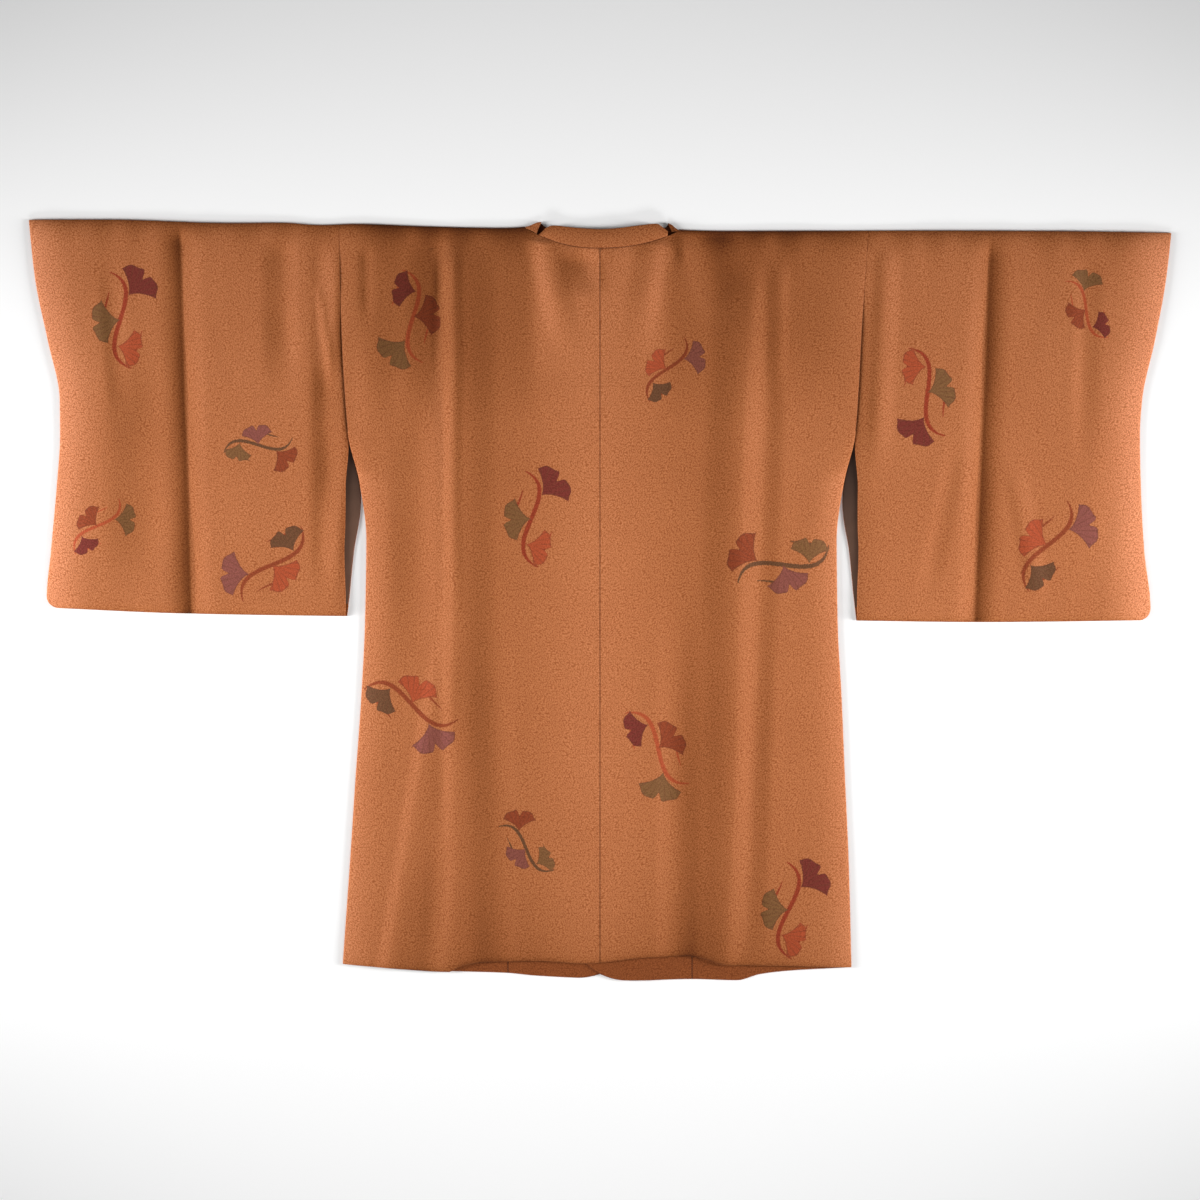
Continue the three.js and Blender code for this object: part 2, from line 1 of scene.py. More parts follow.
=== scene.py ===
"""A crepe kimono coat laid out flat with its back upwards.

Shapes are worked out in millimetres in the coat's own frame, and become metres in the meshes: +X
runs to the right as one looks down on the back, +Y from the hems to the shoulders, and +Z up. Each
cloth is a grid of points in the middle of its wall, given as a function of a row and a column, and
the wall's two faces stand off from it.
"""

import logging
import math
from dataclasses import dataclass, field
from enum import Enum
from typing import Callable

import bpy
import numpy as np
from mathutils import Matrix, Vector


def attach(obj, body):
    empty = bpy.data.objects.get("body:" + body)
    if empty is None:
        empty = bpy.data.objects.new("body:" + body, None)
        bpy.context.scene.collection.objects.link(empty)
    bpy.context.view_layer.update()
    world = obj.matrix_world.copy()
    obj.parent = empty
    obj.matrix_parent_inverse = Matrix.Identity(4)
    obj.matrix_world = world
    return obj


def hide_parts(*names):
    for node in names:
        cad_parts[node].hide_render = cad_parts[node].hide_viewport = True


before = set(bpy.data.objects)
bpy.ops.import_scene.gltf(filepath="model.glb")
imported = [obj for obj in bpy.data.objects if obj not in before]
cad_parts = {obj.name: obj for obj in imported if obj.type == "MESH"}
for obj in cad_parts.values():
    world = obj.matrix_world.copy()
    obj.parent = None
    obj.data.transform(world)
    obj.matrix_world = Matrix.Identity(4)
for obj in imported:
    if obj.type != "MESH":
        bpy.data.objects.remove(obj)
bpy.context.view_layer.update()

log = logging.getLogger("coat")
Reader = Callable[[np.ndarray], np.ndarray]

MM = 0.001
WALL = 1.0  # crepe with its lining
COLLAR_WALL = 1.6
LINING_WALL = 0.7
SEAM = 0.08  # space between two sewn edges
PLY_GAP = 0.12  # space between two layers that lie on each other
LAYER = WALL + PLY_GAP  # from one layer's face to the next one's
LOWEST_TOP = WALL + LAYER
LOFT = 5.4  # how far the back bulges in the middle of a cloth
BAND_WIDTH = 152.0
BAND_SEAM_X = 110.0
BAND_FREE_X = BAND_SEAM_X - BAND_WIDTH
BAND_CORNER = 70.0
BAND_STEP_LOW, BAND_STEP_HIGH = 46.0, 76.0
NECK_FOOT_Y = 233.0
NECK_BACK_Y = 399.6
NECK_POWER = 2.3
NECK_LOFT = 4.6
COLLAR_WIDTH = 22.0
ARMHOLE_Y = 188.0
SIDE_SEAM_Y = 130.0
SLEEVE_CORNER = 14.0
EDGE_ROWS = 62.0  # rows nearer than this to a curved edge follow it
FOLD_START = 0.35  # slope, in radians, at which a layer runs into its shoulder fold
FOLD_ROWS = 10
RIM_STEPS = (0, 0.06, 0.2, 0.45, 0.85, 1.6, 3.2)  # rows beside an edge, in mm from it
ROUND_ROWS = 5  # how many of these lie on the rounded rim
NO_SEAM = 99.0  # distance where no seam is near
NO_SPRAY = 9.0  # a place outside every spray, in a spray's own coordinates
SPRAY_MARGIN = 1.3  # faces this many times a spray's reach away hold no spray


class Side(Enum):
    """The coat's halves, as one looks down on the back."""

    LEFT = -1
    RIGHT = 1

    @property
    def word(self) -> str:
        """The half's word in the pieces' names."""
        return self.name.lower()


class Layer(Enum):
    """The two layers of a cloth that is folded over the shoulder."""

    BACK = 0
    FRONT = 1


class Face(Enum):
    """The parts of a cloth wall."""

    OUTER = 0
    INNER = 1
    RIM = 2


def curve(at: list[float], value: list[float]) -> Reader:
    """Makes a smooth curve through points, with no overshoot.

    Between two points it is the cubic that has their values and slopes. A point's slope is the
    harmonic mean of the slopes on its two sides, or zero where these differ in sign.

    Args:
        at: places of the points, rising.
        value: values at those places.

    Returns:
        A function that reads the curve at an array of places.
    """
    places, values = np.asarray(at, float), np.asarray(value, float)
    rate = np.diff(values) / np.diff(places)
    product = rate[:-1] * rate[1:]
    total = np.where(product > 0, rate[:-1] + rate[1:], 1.0)
    slope = np.concatenate([rate[:1], np.where(product > 0, 2 * product / total, 0.0), rate[-1:]])

    def read(v: np.ndarray) -> np.ndarray:
        """Reads the curve.

        Args:
            v: places, of which those beyond the table count as its nearest end.

        Returns:
            The values there.
        """
        v = np.clip(v, places[0], places[-1])
        k = np.clip(np.searchsorted(places, v, side="right") - 1, 0, len(places) - 2)
        width = places[k + 1] - places[k]
        t = (v - places[k]) / width
        ends = values[k] * (1 + 2 * t) * (1 - t) ** 2 + values[k + 1] * t * t * (3 - 2 * t)
        return ends + width * t * (1 - t) * (slope[k] * (1 - t) - slope[k + 1] * t)

    return read


def columns(rows: list[tuple[float, ...]], value: int = 1) -> Reader:
    """Makes a curve from a table whose first column is the place."""
    return curve([row[0] for row in rows], [row[value] for row in rows])


# Outline tables: x and y of the edges that run across the coat
SHOULDER_LINE = columns([
    (-650, 432.4), (-560, 432.6), (-420, 428.6), (-361, 429), (-318, 426.4), (-279, 427.6),
    (-200, 425), (-113, 423), (-85, 424.4), (-67, 430), (77, 428.6), (90, 421), (150, 419.6),
    (354, 420), (507, 419.6), (650, 417.6),
])
BACK_HEM = columns([
    (-293, -413.7), (-230, -419), (-172, -422.6), (-158, -416), (-130, -411.8), (-70, -410.2),
    (-18, -413), (50, -406.5), (99, -404.6), (121, -408.5), (142, -415), (192, -415.5),
    (286, -417.5),
])
FRONT_HEM = columns([
    (-293, -413.7), (-230, -417.5), (-165, -422), (-106, -424), (-75, -427), (-20, -430),
    (40, -432.6), (105, -431), (156, -432.4), (182, -425.5), (215, -421.5), (286, -417.5),
])
SLEEVE_FOOT = columns([
    (-640, -8), (-469, -15.3), (-289, -18.2), (289, -23.3), (431, -25), (640, -22.7),
])
COLLAR_BACK_ENDS = (-69.8, 77.0)
COLLAR_BACK_TOP = columns([
    (-69.8, 414.4), (-65, 418.6), (-61, 422.8), (-53.4, 425.4), (-26.6, 423.1), (2, 421.4), (45.7, 425.7),
    (64.6, 427.5), (72, 422.8), (77, 418.6),
])
# Outline tables: y, then the left and the right half's distance from the middle
BODY_SIDE_ROWS = [
    (-420, 293, 286), (-295, 284, 282.6), (-204, 278, 278.5), (-113, 271.5, 274.7),
    (-22, 267, 270), (69, 265.6, 269), (132, 273, 277), (188, 286, 290), (315, 294, 298),
    (430, 296.5, 305.5),
]
CUFF_ROWS = [
    (-30, 629, 626.5), (0, 629, 625.4), (57, 624, 618.6), (132, 617.4, 614.8), (188, 613.8, 613.8),
    (228, 614.2, 616.4), (296, 628, 631), (364, 642, 643.4), (434, 650, 651.2),
]
# y, then how far the back and the front layer of a sleeve stand away from the body's side
SLEEVE_OPENING_ROWS = [
    (-30, 22, 22), (0, 22.5, 19), (57, 24.8, 14), (130, 16.4, 0.2), (188, 0, 0), (440, 0, 0),
]


def smooth(t: np.ndarray) -> np.ndarray:
    """Rises from 0 to 1 with level ends, as 3t^2 - 2t^3."""
    t = np.clip(t, 0, 1)
    return t * t * (3 - 2 * t)


def rounded(distance: np.ndarray, reach: float | np.ndarray, rest: float | np.ndarray) -> np.ndarray:
    """Share of a bulge that is left at a distance from an edge, as a quarter of an ellipse."""
    inward = 1 - np.clip(distance / reach, 0, 1)
    return rest + (1 - rest) * np.sqrt(1 - inward**2)


def mix(a: np.ndarray | float, b: np.ndarray | float, t: np.ndarray | float) -> np.ndarray:
    """The value that lies the share t of the way from a to b."""
    return a + (b - a) * t


def band_seam(y: np.ndarray) -> np.ndarray:
    """How far the bands' seam is from the middle, which is a little less beside the hem."""
    return BAND_SEAM_X - 5.2 * smooth((-255 - y) / 90)


@dataclass(frozen=True)
class Half:
    """Outline of one half of the coat. Its x values are distances from the middle."""

    side: Side
    neck_half: float
    collar_peak: float
    body_side: Reader
    cuff: Reader

    @property
    def sign(self) -> int:
        """-1 on the left and 1 on the right."""
        return self.side.value

    @property
    def neck_top(self) -> float:
        """Height at which the cloth beside the neck runs into its shoulder fold."""
        return float(SHOULDER_LINE(np.array(self.sign * self.neck_half))) - 1.5 * WALL

    def ridge(self, x: np.ndarray) -> np.ndarray:
        """The body's shoulder line, which stays level across the neck."""
        return SHOULDER_LINE(self.sign * np.maximum(np.abs(x), self.neck_half))

    def neck_edge(self, y: np.ndarray) -> np.ndarray:
        """Half width of the back's neckline at a height, a power curve from its lowest point."""
        rise = np.clip((y - NECK_BACK_Y) / (self.neck_top - NECK_BACK_Y), 0, 1)
        return self.neck_half * rise ** (1 / NECK_POWER)

    def neck_y(self, x: np.ndarray) -> np.ndarray:
        """Height of the back's neckline at a distance from the middle."""
        share = np.clip(np.abs(x) / self.neck_half, 0, 1)
        return NECK_BACK_Y + (self.neck_top - NECK_BACK_Y) * share**NECK_POWER

    def front_edge(self, y: np.ndarray) -> np.ndarray:
        """Inner edge of the front: the side of the neckline, then the seam of the band."""
        rise = np.clip((y - NECK_FOOT_Y) / (self.neck_top - NECK_FOOT_Y), 0, 1)
        return mix(band_seam(y), self.neck_half, rise)

    def sleeve_edge(self, layer: Layer, y: np.ndarray) -> np.ndarray:
        """Inner edge of one layer of the sleeve."""
        return self.body_side(y) + SEAM + OPENING[layer](y)


HALVES = {
    Side.LEFT: Half(Side.LEFT, 85.0, 67.0, columns(BODY_SIDE_ROWS, 1), columns(CUFF_ROWS, 1)),
    Side.RIGHT: Half(Side.RIGHT, 90.0, 77.6, columns(BODY_SIDE_ROWS, 2), columns(CUFF_ROWS, 2)),
}
OPENING = {
    Layer.BACK: columns(SLEEVE_OPENING_ROWS, 1),
    Layer.FRONT: columns(SLEEVE_OPENING_ROWS, 2),
}


@dataclass(frozen=True)
class Fold:
    """A ridge or a dip along a line, or with `sharp` a pressed crease."""

    name: str
    top: tuple[float, float]
    foot: tuple[float, float]
    height: float
    left: float
    right: float
    rise: float = 0.1
    fall: float = 0.1
    sharp: bool = False
    sway: float = 0.0

    def at(self, x: np.ndarray, y: np.ndarray) -> np.ndarray:
        """Height of the fold at points.

        Across its line the section is (1 - s^2)^2, or (1 - s)^2.6 where it is sharp, with s the
        distance as a share of the reach on that side. Along the line it fades in and out.

        Args:
            x: the points' x.
            y: the points' y.

        Returns:
            The height at each point.
        """
        along = np.clip((self.top[1] - y) / (self.top[1] - self.foot[1]), 0, 1)
        line = mix(self.top[0], self.foot[0], along) + self.sway * np.sin(along * 9 + self.top[0])
        across = np.clip(np.abs(x - line) / np.where(x < line, self.left, self.right), 0, 1)
        section = (1 - across) ** 2.6 if self.sharp else (1 - across**2) ** 2
        ends = smooth(along / self.rise) * smooth((1 - along) / self.fall)
        return self.height * section * ends * (1 + 0.12 * np.sin(along * 14 + self.foot[0]))


BODY_FOLDS = (
    Fold("left ridge", (-164, 416), (-164, -430), 2.75, 17, 48, 0.05, 0.45, sway=1.5),
    Fold("left ridge's crest", (-170, 410), (-168, -60), 1.6, 8, 15, 0.08, 0.4, sway=1.5),
    Fold("left shoulder dip", (-188, 416), (-190, 150), -1.7, 34, 16, 0.1, 0.6),
    Fold("left shoulder crease", (-183, 402), (-185, 235), -1.4, 11, 7, 0.2, 0.5, sharp=True),
    Fold("left side hollow", (-208, 250), (-213, -130), -1.7, 34, 30, 0.25, 0.4),
    Fold("left seam gather", (-266, 405), (-264, 300), -1.2, 10, 9, 0.2, 0.5),
    Fold("left side's roll", (-262, 335), (-262, 120), 1.0, 22, 30, 0.35, 0.4),
    Fold("left hem ridge", (-174, -20), (-243, -430), 1.9, 14, 34, 0.25, 0.01),
    Fold("left hem dip", (-178, -260), (-196, -430), -1.2, 18, 22, 0.5, 0.01),
    Fold("left centre dip", (-124, 60), (-118, -430), -1.0, 30, 30, 0.4, 0.01),
    Fold("right ridge", (171, 398), (143, -430), 3.0, 46, 17, 0.12, 0.05, sway=2),
    Fold("right ridge's shadow", (196, 380), (168, -430), -1.5, 13, 21, 0.15, 0.1),
    Fold("right ridge's second crest", (206, 402), (200, 205), 1.3, 17, 12, 0.25, 0.5),
    Fold("right hem dip", (91, 40), (88, -430), -1.9, 28, 26, 0.4, 0.01),
    Fold("right shoulder dip", (122, 420), (146, 296), -3.0, 36, 46, 0.1, 0.5),
    Fold("right neck crease", (82, 418), (87, 372), -1.7, 10, 10, 0.2, 0.6),
    Fold("left neck gather", (-68, 412), (-36, 268), 3.2, 18, 26, 0.05, 0.7),
    Fold("right neck gather", (64, 410), (40, 260), 2.0, 26, 18, 0.05, 0.7),
    Fold("hollow under the collar", (-26, 404), (-10, 342), -3.6, 32, 26, 0.35, 0.5),
)
SLEEVE_FOLDS = (
    Fold("left middle crease", (-477, 428), (-463, -20), -5.6, 34, 30, 0.06, 0.01, sharp=True),
    Fold("left seam ridge", (-301, 416), (-297, -10), 1.5, 13, 10, 0.1, 0.2, sway=1),
    Fold("left seam dip", (-321, 416), (-318, -10), -0.9, 12, 12, 0.1, 0.2, sway=1),
    Fold("left cuff crease", (-560, 400), (-545, 190), -1.2, 14, 20, 0.3, 0.4),
    Fold("left cuff hollow", (-516, 330), (-518, -10), -2.2, 52, 46, 0.3, 0.3),
    Fold("left seam hollow", (-304, 290), (-302, 40), -3.4, 24, 14, 0.2, 0.5),
    Fold("left upper dip", (-362, 418), (-358, 210), -2.2, 26, 20, 0.15, 0.5),
    Fold("left short crease", (-321, 362), (-300, 215), 1.9, 5, 8, 0.2, 0.5),
    Fold("right middle crease", (443, 418), (425, -26), -5.3, 26, 32, 0.08, 0.01, sharp=True),
    Fold("right seam ridge", (326, 410), (312, 120), 1.6, 14, 20, 0.1, 0.4),
    Fold("right cuff crease", (553, 410), (547, 130), -1.2, 14, 22, 0.2, 0.4),
    Fold("right slanting ridge", (465, 171), (499, -11), 0.9, 14, 18, 0.3, 0.3),
    Fold("right slanting dip", (408, 193), (369, -11), -0.7, 16, 16, 0.3, 0.3),
)


def fold_sum(folds: tuple[Fold, ...], x: np.ndarray, y: np.ndarray) -> np.ndarray:
    """Height of all the folds of a cloth at points."""
    return sum((fold.at(x, y) for fold in folds), np.zeros(np.broadcast(x, y).shape))


class Unevenness:
    """The soft unevenness of a well-used cloth: a sum of seeded waves that run mostly across it."""

    WAVES = 26
    WIDEST_TURN = 1.1  # of a wave, in radians

    def __init__(self, seed: int, shortest: float, longest: float, stretch: float) -> None:
        """Draws the waves.

        Args:
            seed: seed of the draw.
            shortest: the shortest wave, in mm across the cloth.
            longest: the longest wave.
            stretch: how many times longer a wave is along the cloth.
        """
        draw = np.random.default_rng(seed)
        length = np.exp(draw.uniform(math.log(shortest), math.log(longest), self.WAVES))
        turn = draw.uniform(-self.WIDEST_TURN, self.WIDEST_TURN, self.WAVES)
        self.across = 2 * math.pi * np.cos(turn) / length
        self.along = 2 * math.pi * np.sin(turn) / length / stretch
        self.phase = draw.uniform(0, 2 * math.pi, self.WAVES)
        self.weight = length / np.linalg.norm(length)

    def at(self, x: np.ndarray, y: np.ndarray) -> np.ndarray:
        """Height at points, mostly between -1 and 1."""
        waves = x[..., None] * self.across + y[..., None] * self.along + self.phase
        return np.sin(waves) @ self.weight


SOFT_WAVES = Unevenness(11, 40, 170, 3.5)
SMALL_WAVES = Unevenness(29, 14, 45, 3.0)
PUCKERS = Unevenness(5, 18, 60, 0.35)


class Relief:
    """Heights of the coat's upper faces."""

    # Beside an edge: the reach of the rounding, and the share of the bulge that the edge keeps
    SHOULDER = (26.0, 0.22)
    SEWN_SIDE, FREE_SIDE = (9.0, 0.75), (30.0, 0.0)
    BODY_HEM, SLEEVE_HEM, CUFF = (9.0, 0.5), (12.0, 0.08), (40.0, 0.06)
    SLEEVE_SEAM_REACH = 20.0
    LEAST_BULGE = 0.15
    SLEEVE_LOFT = LOFT - 0.6
    SHOULDER_FALL = 2.6
    SOFT_SHARE, SMALL_SHARE = 0.55, 0.16
    PUCKER, NECK_PUCKER = 0.22, 0.25

    @staticmethod
    def band_stack(x: np.ndarray, y: np.ndarray) -> np.ndarray:
        """Upper face of the front layers under the middle of the back."""
        stack = WALL + LAYER * smooth((BAND_STEP_HIGH + 12 - np.abs(x)) / 30)
        return np.where(y > NECK_FOOT_Y + COLLAR_WIDTH + 10, WALL, stack)

    @classmethod
    def unevenness(cls, x: np.ndarray, y: np.ndarray) -> np.ndarray:
        """The soft and the small waves together."""
        return cls.SOFT_SHARE * SOFT_WAVES.at(x, y) + cls.SMALL_SHARE * SMALL_WAVES.at(x, y)

    @classmethod
    def shoulder_fall(cls, x: np.ndarray, y: np.ndarray) -> np.ndarray:
        """How far the back falls towards the shoulders, beside the level panel under the neck."""
        beside = smooth((np.abs(x) - 62) / 30) * smooth((400 - np.abs(x)) / 110)
        return -cls.SHOULDER_FALL * smooth((y - 250) / 150) * beside

    @classmethod
    def body(cls, half: Half, x: np.ndarray, y: np.ndarray) -> np.ndarray:
        """Upper face of the back of the body.

        The bulge, of the loft with the folds and the unevenness, is rounded down to each edge.
        Along a seam the cloth dips and puckers a little more.

        Args:
            half: the half that the points are on.
            x: the points' x.
            y: the points' y.

        Returns:
            The height at each point.
        """
        out = np.abs(x)
        from_side = half.body_side(y) - out
        free = smooth((ARMHOLE_Y + 10 - y) / (ARMHOLE_Y - SIDE_SEAM_Y))
        side = [mix(sewn, loose, free) for sewn, loose in zip(cls.SEWN_SIDE, cls.FREE_SIDE)]
        share = (
            rounded(half.ridge(x) - y, *cls.SHOULDER)
            * rounded(from_side, *side)
            * rounded(y - BACK_HEM(x), *cls.BODY_HEM)
        )
        over_neckline = smooth((y - NECK_FOOT_Y) / 30) * smooth((half.front_edge(y) - out) / 24)
        loft = mix(LOFT, NECK_LOFT, over_neckline) + cls.shoulder_fall(x, y)
        bulge = loft + fold_sum(BODY_FOLDS, x, y) + cls.unevenness(x, y)
        bulge = np.maximum(bulge, cls.LEAST_BULGE)
        from_neck = np.where(out < half.neck_half, half.neck_y(x) - y, NO_SEAM)
        dip = 0.45 * np.exp(-out / 2.2) + 0.4 * np.exp(-np.maximum(from_neck, 0) / 2.5)
        beside_seams = np.exp(-from_side / 12) * (1 - free) + np.exp(-out / 9)
        pucker = cls.PUCKER * PUCKERS.at(x, y) * beside_seams
        pucker += cls.NECK_PUCKER * PUCKERS.at(x, y) * np.exp(-np.maximum(from_neck, 0) / 14)
        height = LOWEST_TOP + bulge * share - dip + pucker * share
        return np.maximum(height, cls.band_stack(x, y) + LAYER)

    @classmethod
    def sleeve(cls, half: Half, x: np.ndarray, y: np.ndarray) -> np.ndarray:
        """Upper face of the back of a sleeve, rounded down to its edges as the body is.

        Args:
            half: the half that the points are on.
            x: the points' x.
            y: the points' y.

        Returns:
            The height at each point.
        """
        from_seam = np.abs(x) - half.sleeve_edge(Layer.BACK, y)
        share = (
            rounded(SHOULDER_LINE(x) - y, *cls.SHOULDER)
            * rounded(half.cuff(y) - np.abs(x), *cls.CUFF)
            * rounded(from_seam, cls.SLEEVE_SEAM_REACH, 1 - 0.6 * seam_depth(y))
            * rounded(y - SLEEVE_FOOT(x), *cls.SLEEVE_HEM)
        )
        loft = cls.SLEEVE_LOFT + cls.shoulder_fall(x, y)
        bulge = loft + fold_sum(SLEEVE_FOLDS, x, y) + cls.unevenness(x, y)
        bulge = np.maximum(bulge, cls.LEAST_BULGE)
        pucker = cls.PUCKER * PUCKERS.at(x, y) * np.exp(-np.maximum(from_seam, 0) / 12)
        return LOWEST_TOP + bulge * share + pucker * share


def seam_depth(y: np.ndarray) -> np.ndarray:
    """How deep the sleeve seam lies: 1 along the armhole, fading out towards the shoulder."""
    return smooth((372 - y) / 70)


class PaintedShading:
    """Painted light and shade on the crepe, as a factor on its colour: 1 is its own colour."""

    OWN = 1.02  # where no light or shade is painted
    REACH = 3.0  # a fold's slope is taken this far on both sides of a point
    SLOPE_SHARE, DARKEST, LIGHTEST = 1.25, -0.38, 0.13
    HOLLOW_SHARE = 0.045  # for each mm of depth
    LEFT_SHOULDER, RIGHT_SHOULDER = 0.32, 0.28
    SLEEVE_RIDGE, BODY_RIDGE, RIDGE_REACH, RUFFLE = 0.46, 0.57, 12.0, 0.42
    DOME, DOME_REACH = 0.24, 88.0
    HEM_RIM, HEM_RIM_REACH = 0.32, 3.5
    HEM_BAND, HEM_BAND_REACH = 0.2, 65.0

    @classmethod
    def tone(
        cls,
        half: Half,
        folds: tuple[Fold, ...],
        ridge: Reader,
        outer: Reader,
        foot: Reader,
        painted_rim_light: tuple[float, float],
        x: np.ndarray,
        y: np.ndarray,
    ) -> np.ndarray:
        """Tone of the back's cloth at points.

        The flank of a fold that falls inwards is painted darker, and the other flank a little lighter, in
        proportion to the slope, and the hollow of a crease is painted darker in proportion to its depth, all
        as painted shade and light. Painted shade also lies over the shoulders, and along the shoulder fold
        and at its foot as falling exponentials of the distance, whose reach at the shoulder fold varies as a
        sine. It is also painted darker away from the middle of the back, and painted lighter towards the
        outer edge as a highlight, as bell curves.

        Args:
            half: the half that the points are on.
            folds: the folds of the cloth.
            ridge: the shoulder line of the cloth.
            outer: how far its outer edge is from the middle.
            foot: the line of its foot.
            painted_rim_light: height and reach of the painted highlight along the outer edge.
            x: the points' x.
            y: the points' y.

        Returns:
            The tone at each point.
        """
        step = half.sign * cls.REACH
        rise = fold_sum(folds, x + step, y) - fold_sum(folds, x - step, y)
        flank = np.clip(-cls.SLOPE_SHARE * rise / (2 * cls.REACH), cls.DARKEST, cls.LIGHTEST)
        hollow = cls.HOLLOW_SHARE * np.minimum(fold_sum(folds, x, y), 0)
        out = np.abs(x)
        beside = smooth((out - 64) / 22) * smooth((320 - out) / 78)
        over = mix(cls.LEFT_SHOULDER, cls.RIGHT_SHOULDER, smooth(x / 60))
        shoulder = -over * smooth((y - 190) / 140) * beside
        on_body = smooth((330 - out) / 40)
        reach = cls.RIDGE_REACH * (1 + cls.RUFFLE * np.sin(x / 8.5 + 1.8 * np.sin(x / 29)))
        along = mix(cls.SLEEVE_RIDGE, cls.BODY_RIDGE, on_body)
        top = -along * np.exp(-np.maximum(ridge(x) - y, 0) / reach)
        dome = -cls.DOME * (1 - np.exp(-((x / cls.DOME_REACH) ** 2))) * on_body * smooth((330 - y) / 120)
        dome *= 1 - 0.62 * smooth((out - 128) / 60)
        above = np.maximum(y - foot(x), 0)
        band = cls.HEM_BAND * np.exp(-above / cls.HEM_BAND_REACH) * smooth((275 - out) / 90)
        hem = -cls.HEM_RIM * np.exp(-above / cls.HEM_RIM_REACH) - band
        edge = painted_rim_light[0] * np.exp(-((np.maximum(outer(y) - out, 0) / painted_rim_light[1]) ** 2))
        return cls.OWN + flank + hollow + shoulder + top + dome + hem + edge


def edge_stations(length: float, step: float) -> np.ndarray:
    """Places from 0 to a length, a step apart, and much closer beside both ends.

    Args:
        length: the whole length, in mm.
        step: the widest step.

    Returns:
        The places as shares of the length.
    """
    near = np.array(RIM_STEPS)
    inner = np.linspace(near[-1], length - near[-1], max(3, int(length / step)))
    return np.concatenate([near, inner[1:-1], (length - near)[::-1]]) / length


def rim_taper(from_edge: np.ndarray, wall: float, reach: float = 0.75, least: float = 0.05) -> np.ndarray:
    """Share of a wall's thickness beside its edge, as a half circle, so that the rim is round.

    Args:
        from_edge: distances from the edge.
        wall: the wall's thickness.
        reach: how far in the rim reaches, as a share of the thickness.
        least: the share at the edge itself.

    Returns:
        The share at each distance.
    """
    inward = 1 - np.clip(from_edge / (wall * reach), 0, 1)
    return np.maximum(np.sqrt(1 - inward**2), least)


def edge_taper(shares: np.ndarray, length: float, wall: float) -> np.ndarray:
    """Share of a wall's thickness in each column, so that both side edges are round."""
    return rim_taper(np.minimum(shares, 1 - shares) * length, wall)


def folded_half_wall(rows: int, shares: np.ndarray, width: float) -> np.ndarray:
    """Half the thickness of a folded crepe wall, rounded off at both hems and both sides.

    Args:
        rows: how many rows the grid has.
        shares: its columns, as shares of the width.
        width: the width.

    Returns:
        The half thickness at each point of the grid.
    """
    taper = np.ones(rows)
    taper[:ROUND_ROWS] = rim_taper(np.array(RIM_STEPS[:ROUND_ROWS]), WALL)
    taper[-ROUND_ROWS:] = taper[ROUND_ROWS - 1 :: -1]
    return WALL / 2 * taper[:, None] * edge_taper(shares, width, WALL)[None, :]


@dataclass
class Cloth:
    """A cloth wall: points of its middle on a grid, and what goes with them."""

    middle: np.ndarray
    half_wall: np.ndarray
    flip: bool
    seam: np.ndarray
    back_rows: int
    # painted light and shade, as a factor on the colour
    tone: np.ndarray | None = None

    def faces(self) -> tuple[np.ndarray, np.ndarray, np.ndarray, np.ndarray]:
        """Closes the grid into a wall.

        The two faces stand off from the middle along its normal, which is the cross product of
        the grid's two directions, and a rim joins them all round.

        Returns:
            Points, quads, the Face value of each quad, and its Layer value, which is -1 on the rim.
        """
        rows, cols = self.middle.shape[:2]
        normal = np.cross(np.gradient(self.middle, axis=1), np.gradient(self.middle, axis=0))
        normal /= np.linalg.norm(normal, axis=2, keepdims=True) * (-1 if self.flip else 1)
        offset = normal * self.half_wall[..., None]
        points = np.concatenate([self.middle + offset, self.middle - offset]).reshape(-1, 3)
        index = np.arange(rows * cols).reshape(rows, cols)
        corners = [index[:-1, :-1], index[:-1, 1:], index[1:, 1:], index[1:, :-1]]
        outer = np.stack(corners, axis=2).reshape(-1, 4)
        inner = outer[:, ::-1] + rows * cols
        loop = np.concatenate([index[0, :-1], index[:-1, -1], index[-1, :0:-1], index[:0:-1, 0]])
        after = np.roll(loop, -1)
        rim = np.stack([after, loop, loop + rows * cols, after + rows * cols], axis=1)
        quads = np.concatenate([outer, inner, rim])
        if self.flip:
            quads = quads[:, ::-1]
        part = np.repeat([face.value for face in Face], [len(outer), len(inner), len(rim)])
        row_layer = np.where(np.arange(rows - 1) < self.back_rows, Layer.BACK.value, Layer.FRONT.value)
        layer = np.concatenate([np.repeat(row_layer, cols - 1)] * 2 + [np.full(len(rim), -1)])
        return points, quads, part, layer


@dataclass(frozen=True)
class Spray:
    """A ginkgo spray in the weave: where it is, its half size, its turn and its colours."""

    piece: str
    layer: Layer
    x: float
    y: float
    reach: float
    turn: float
    colours: int


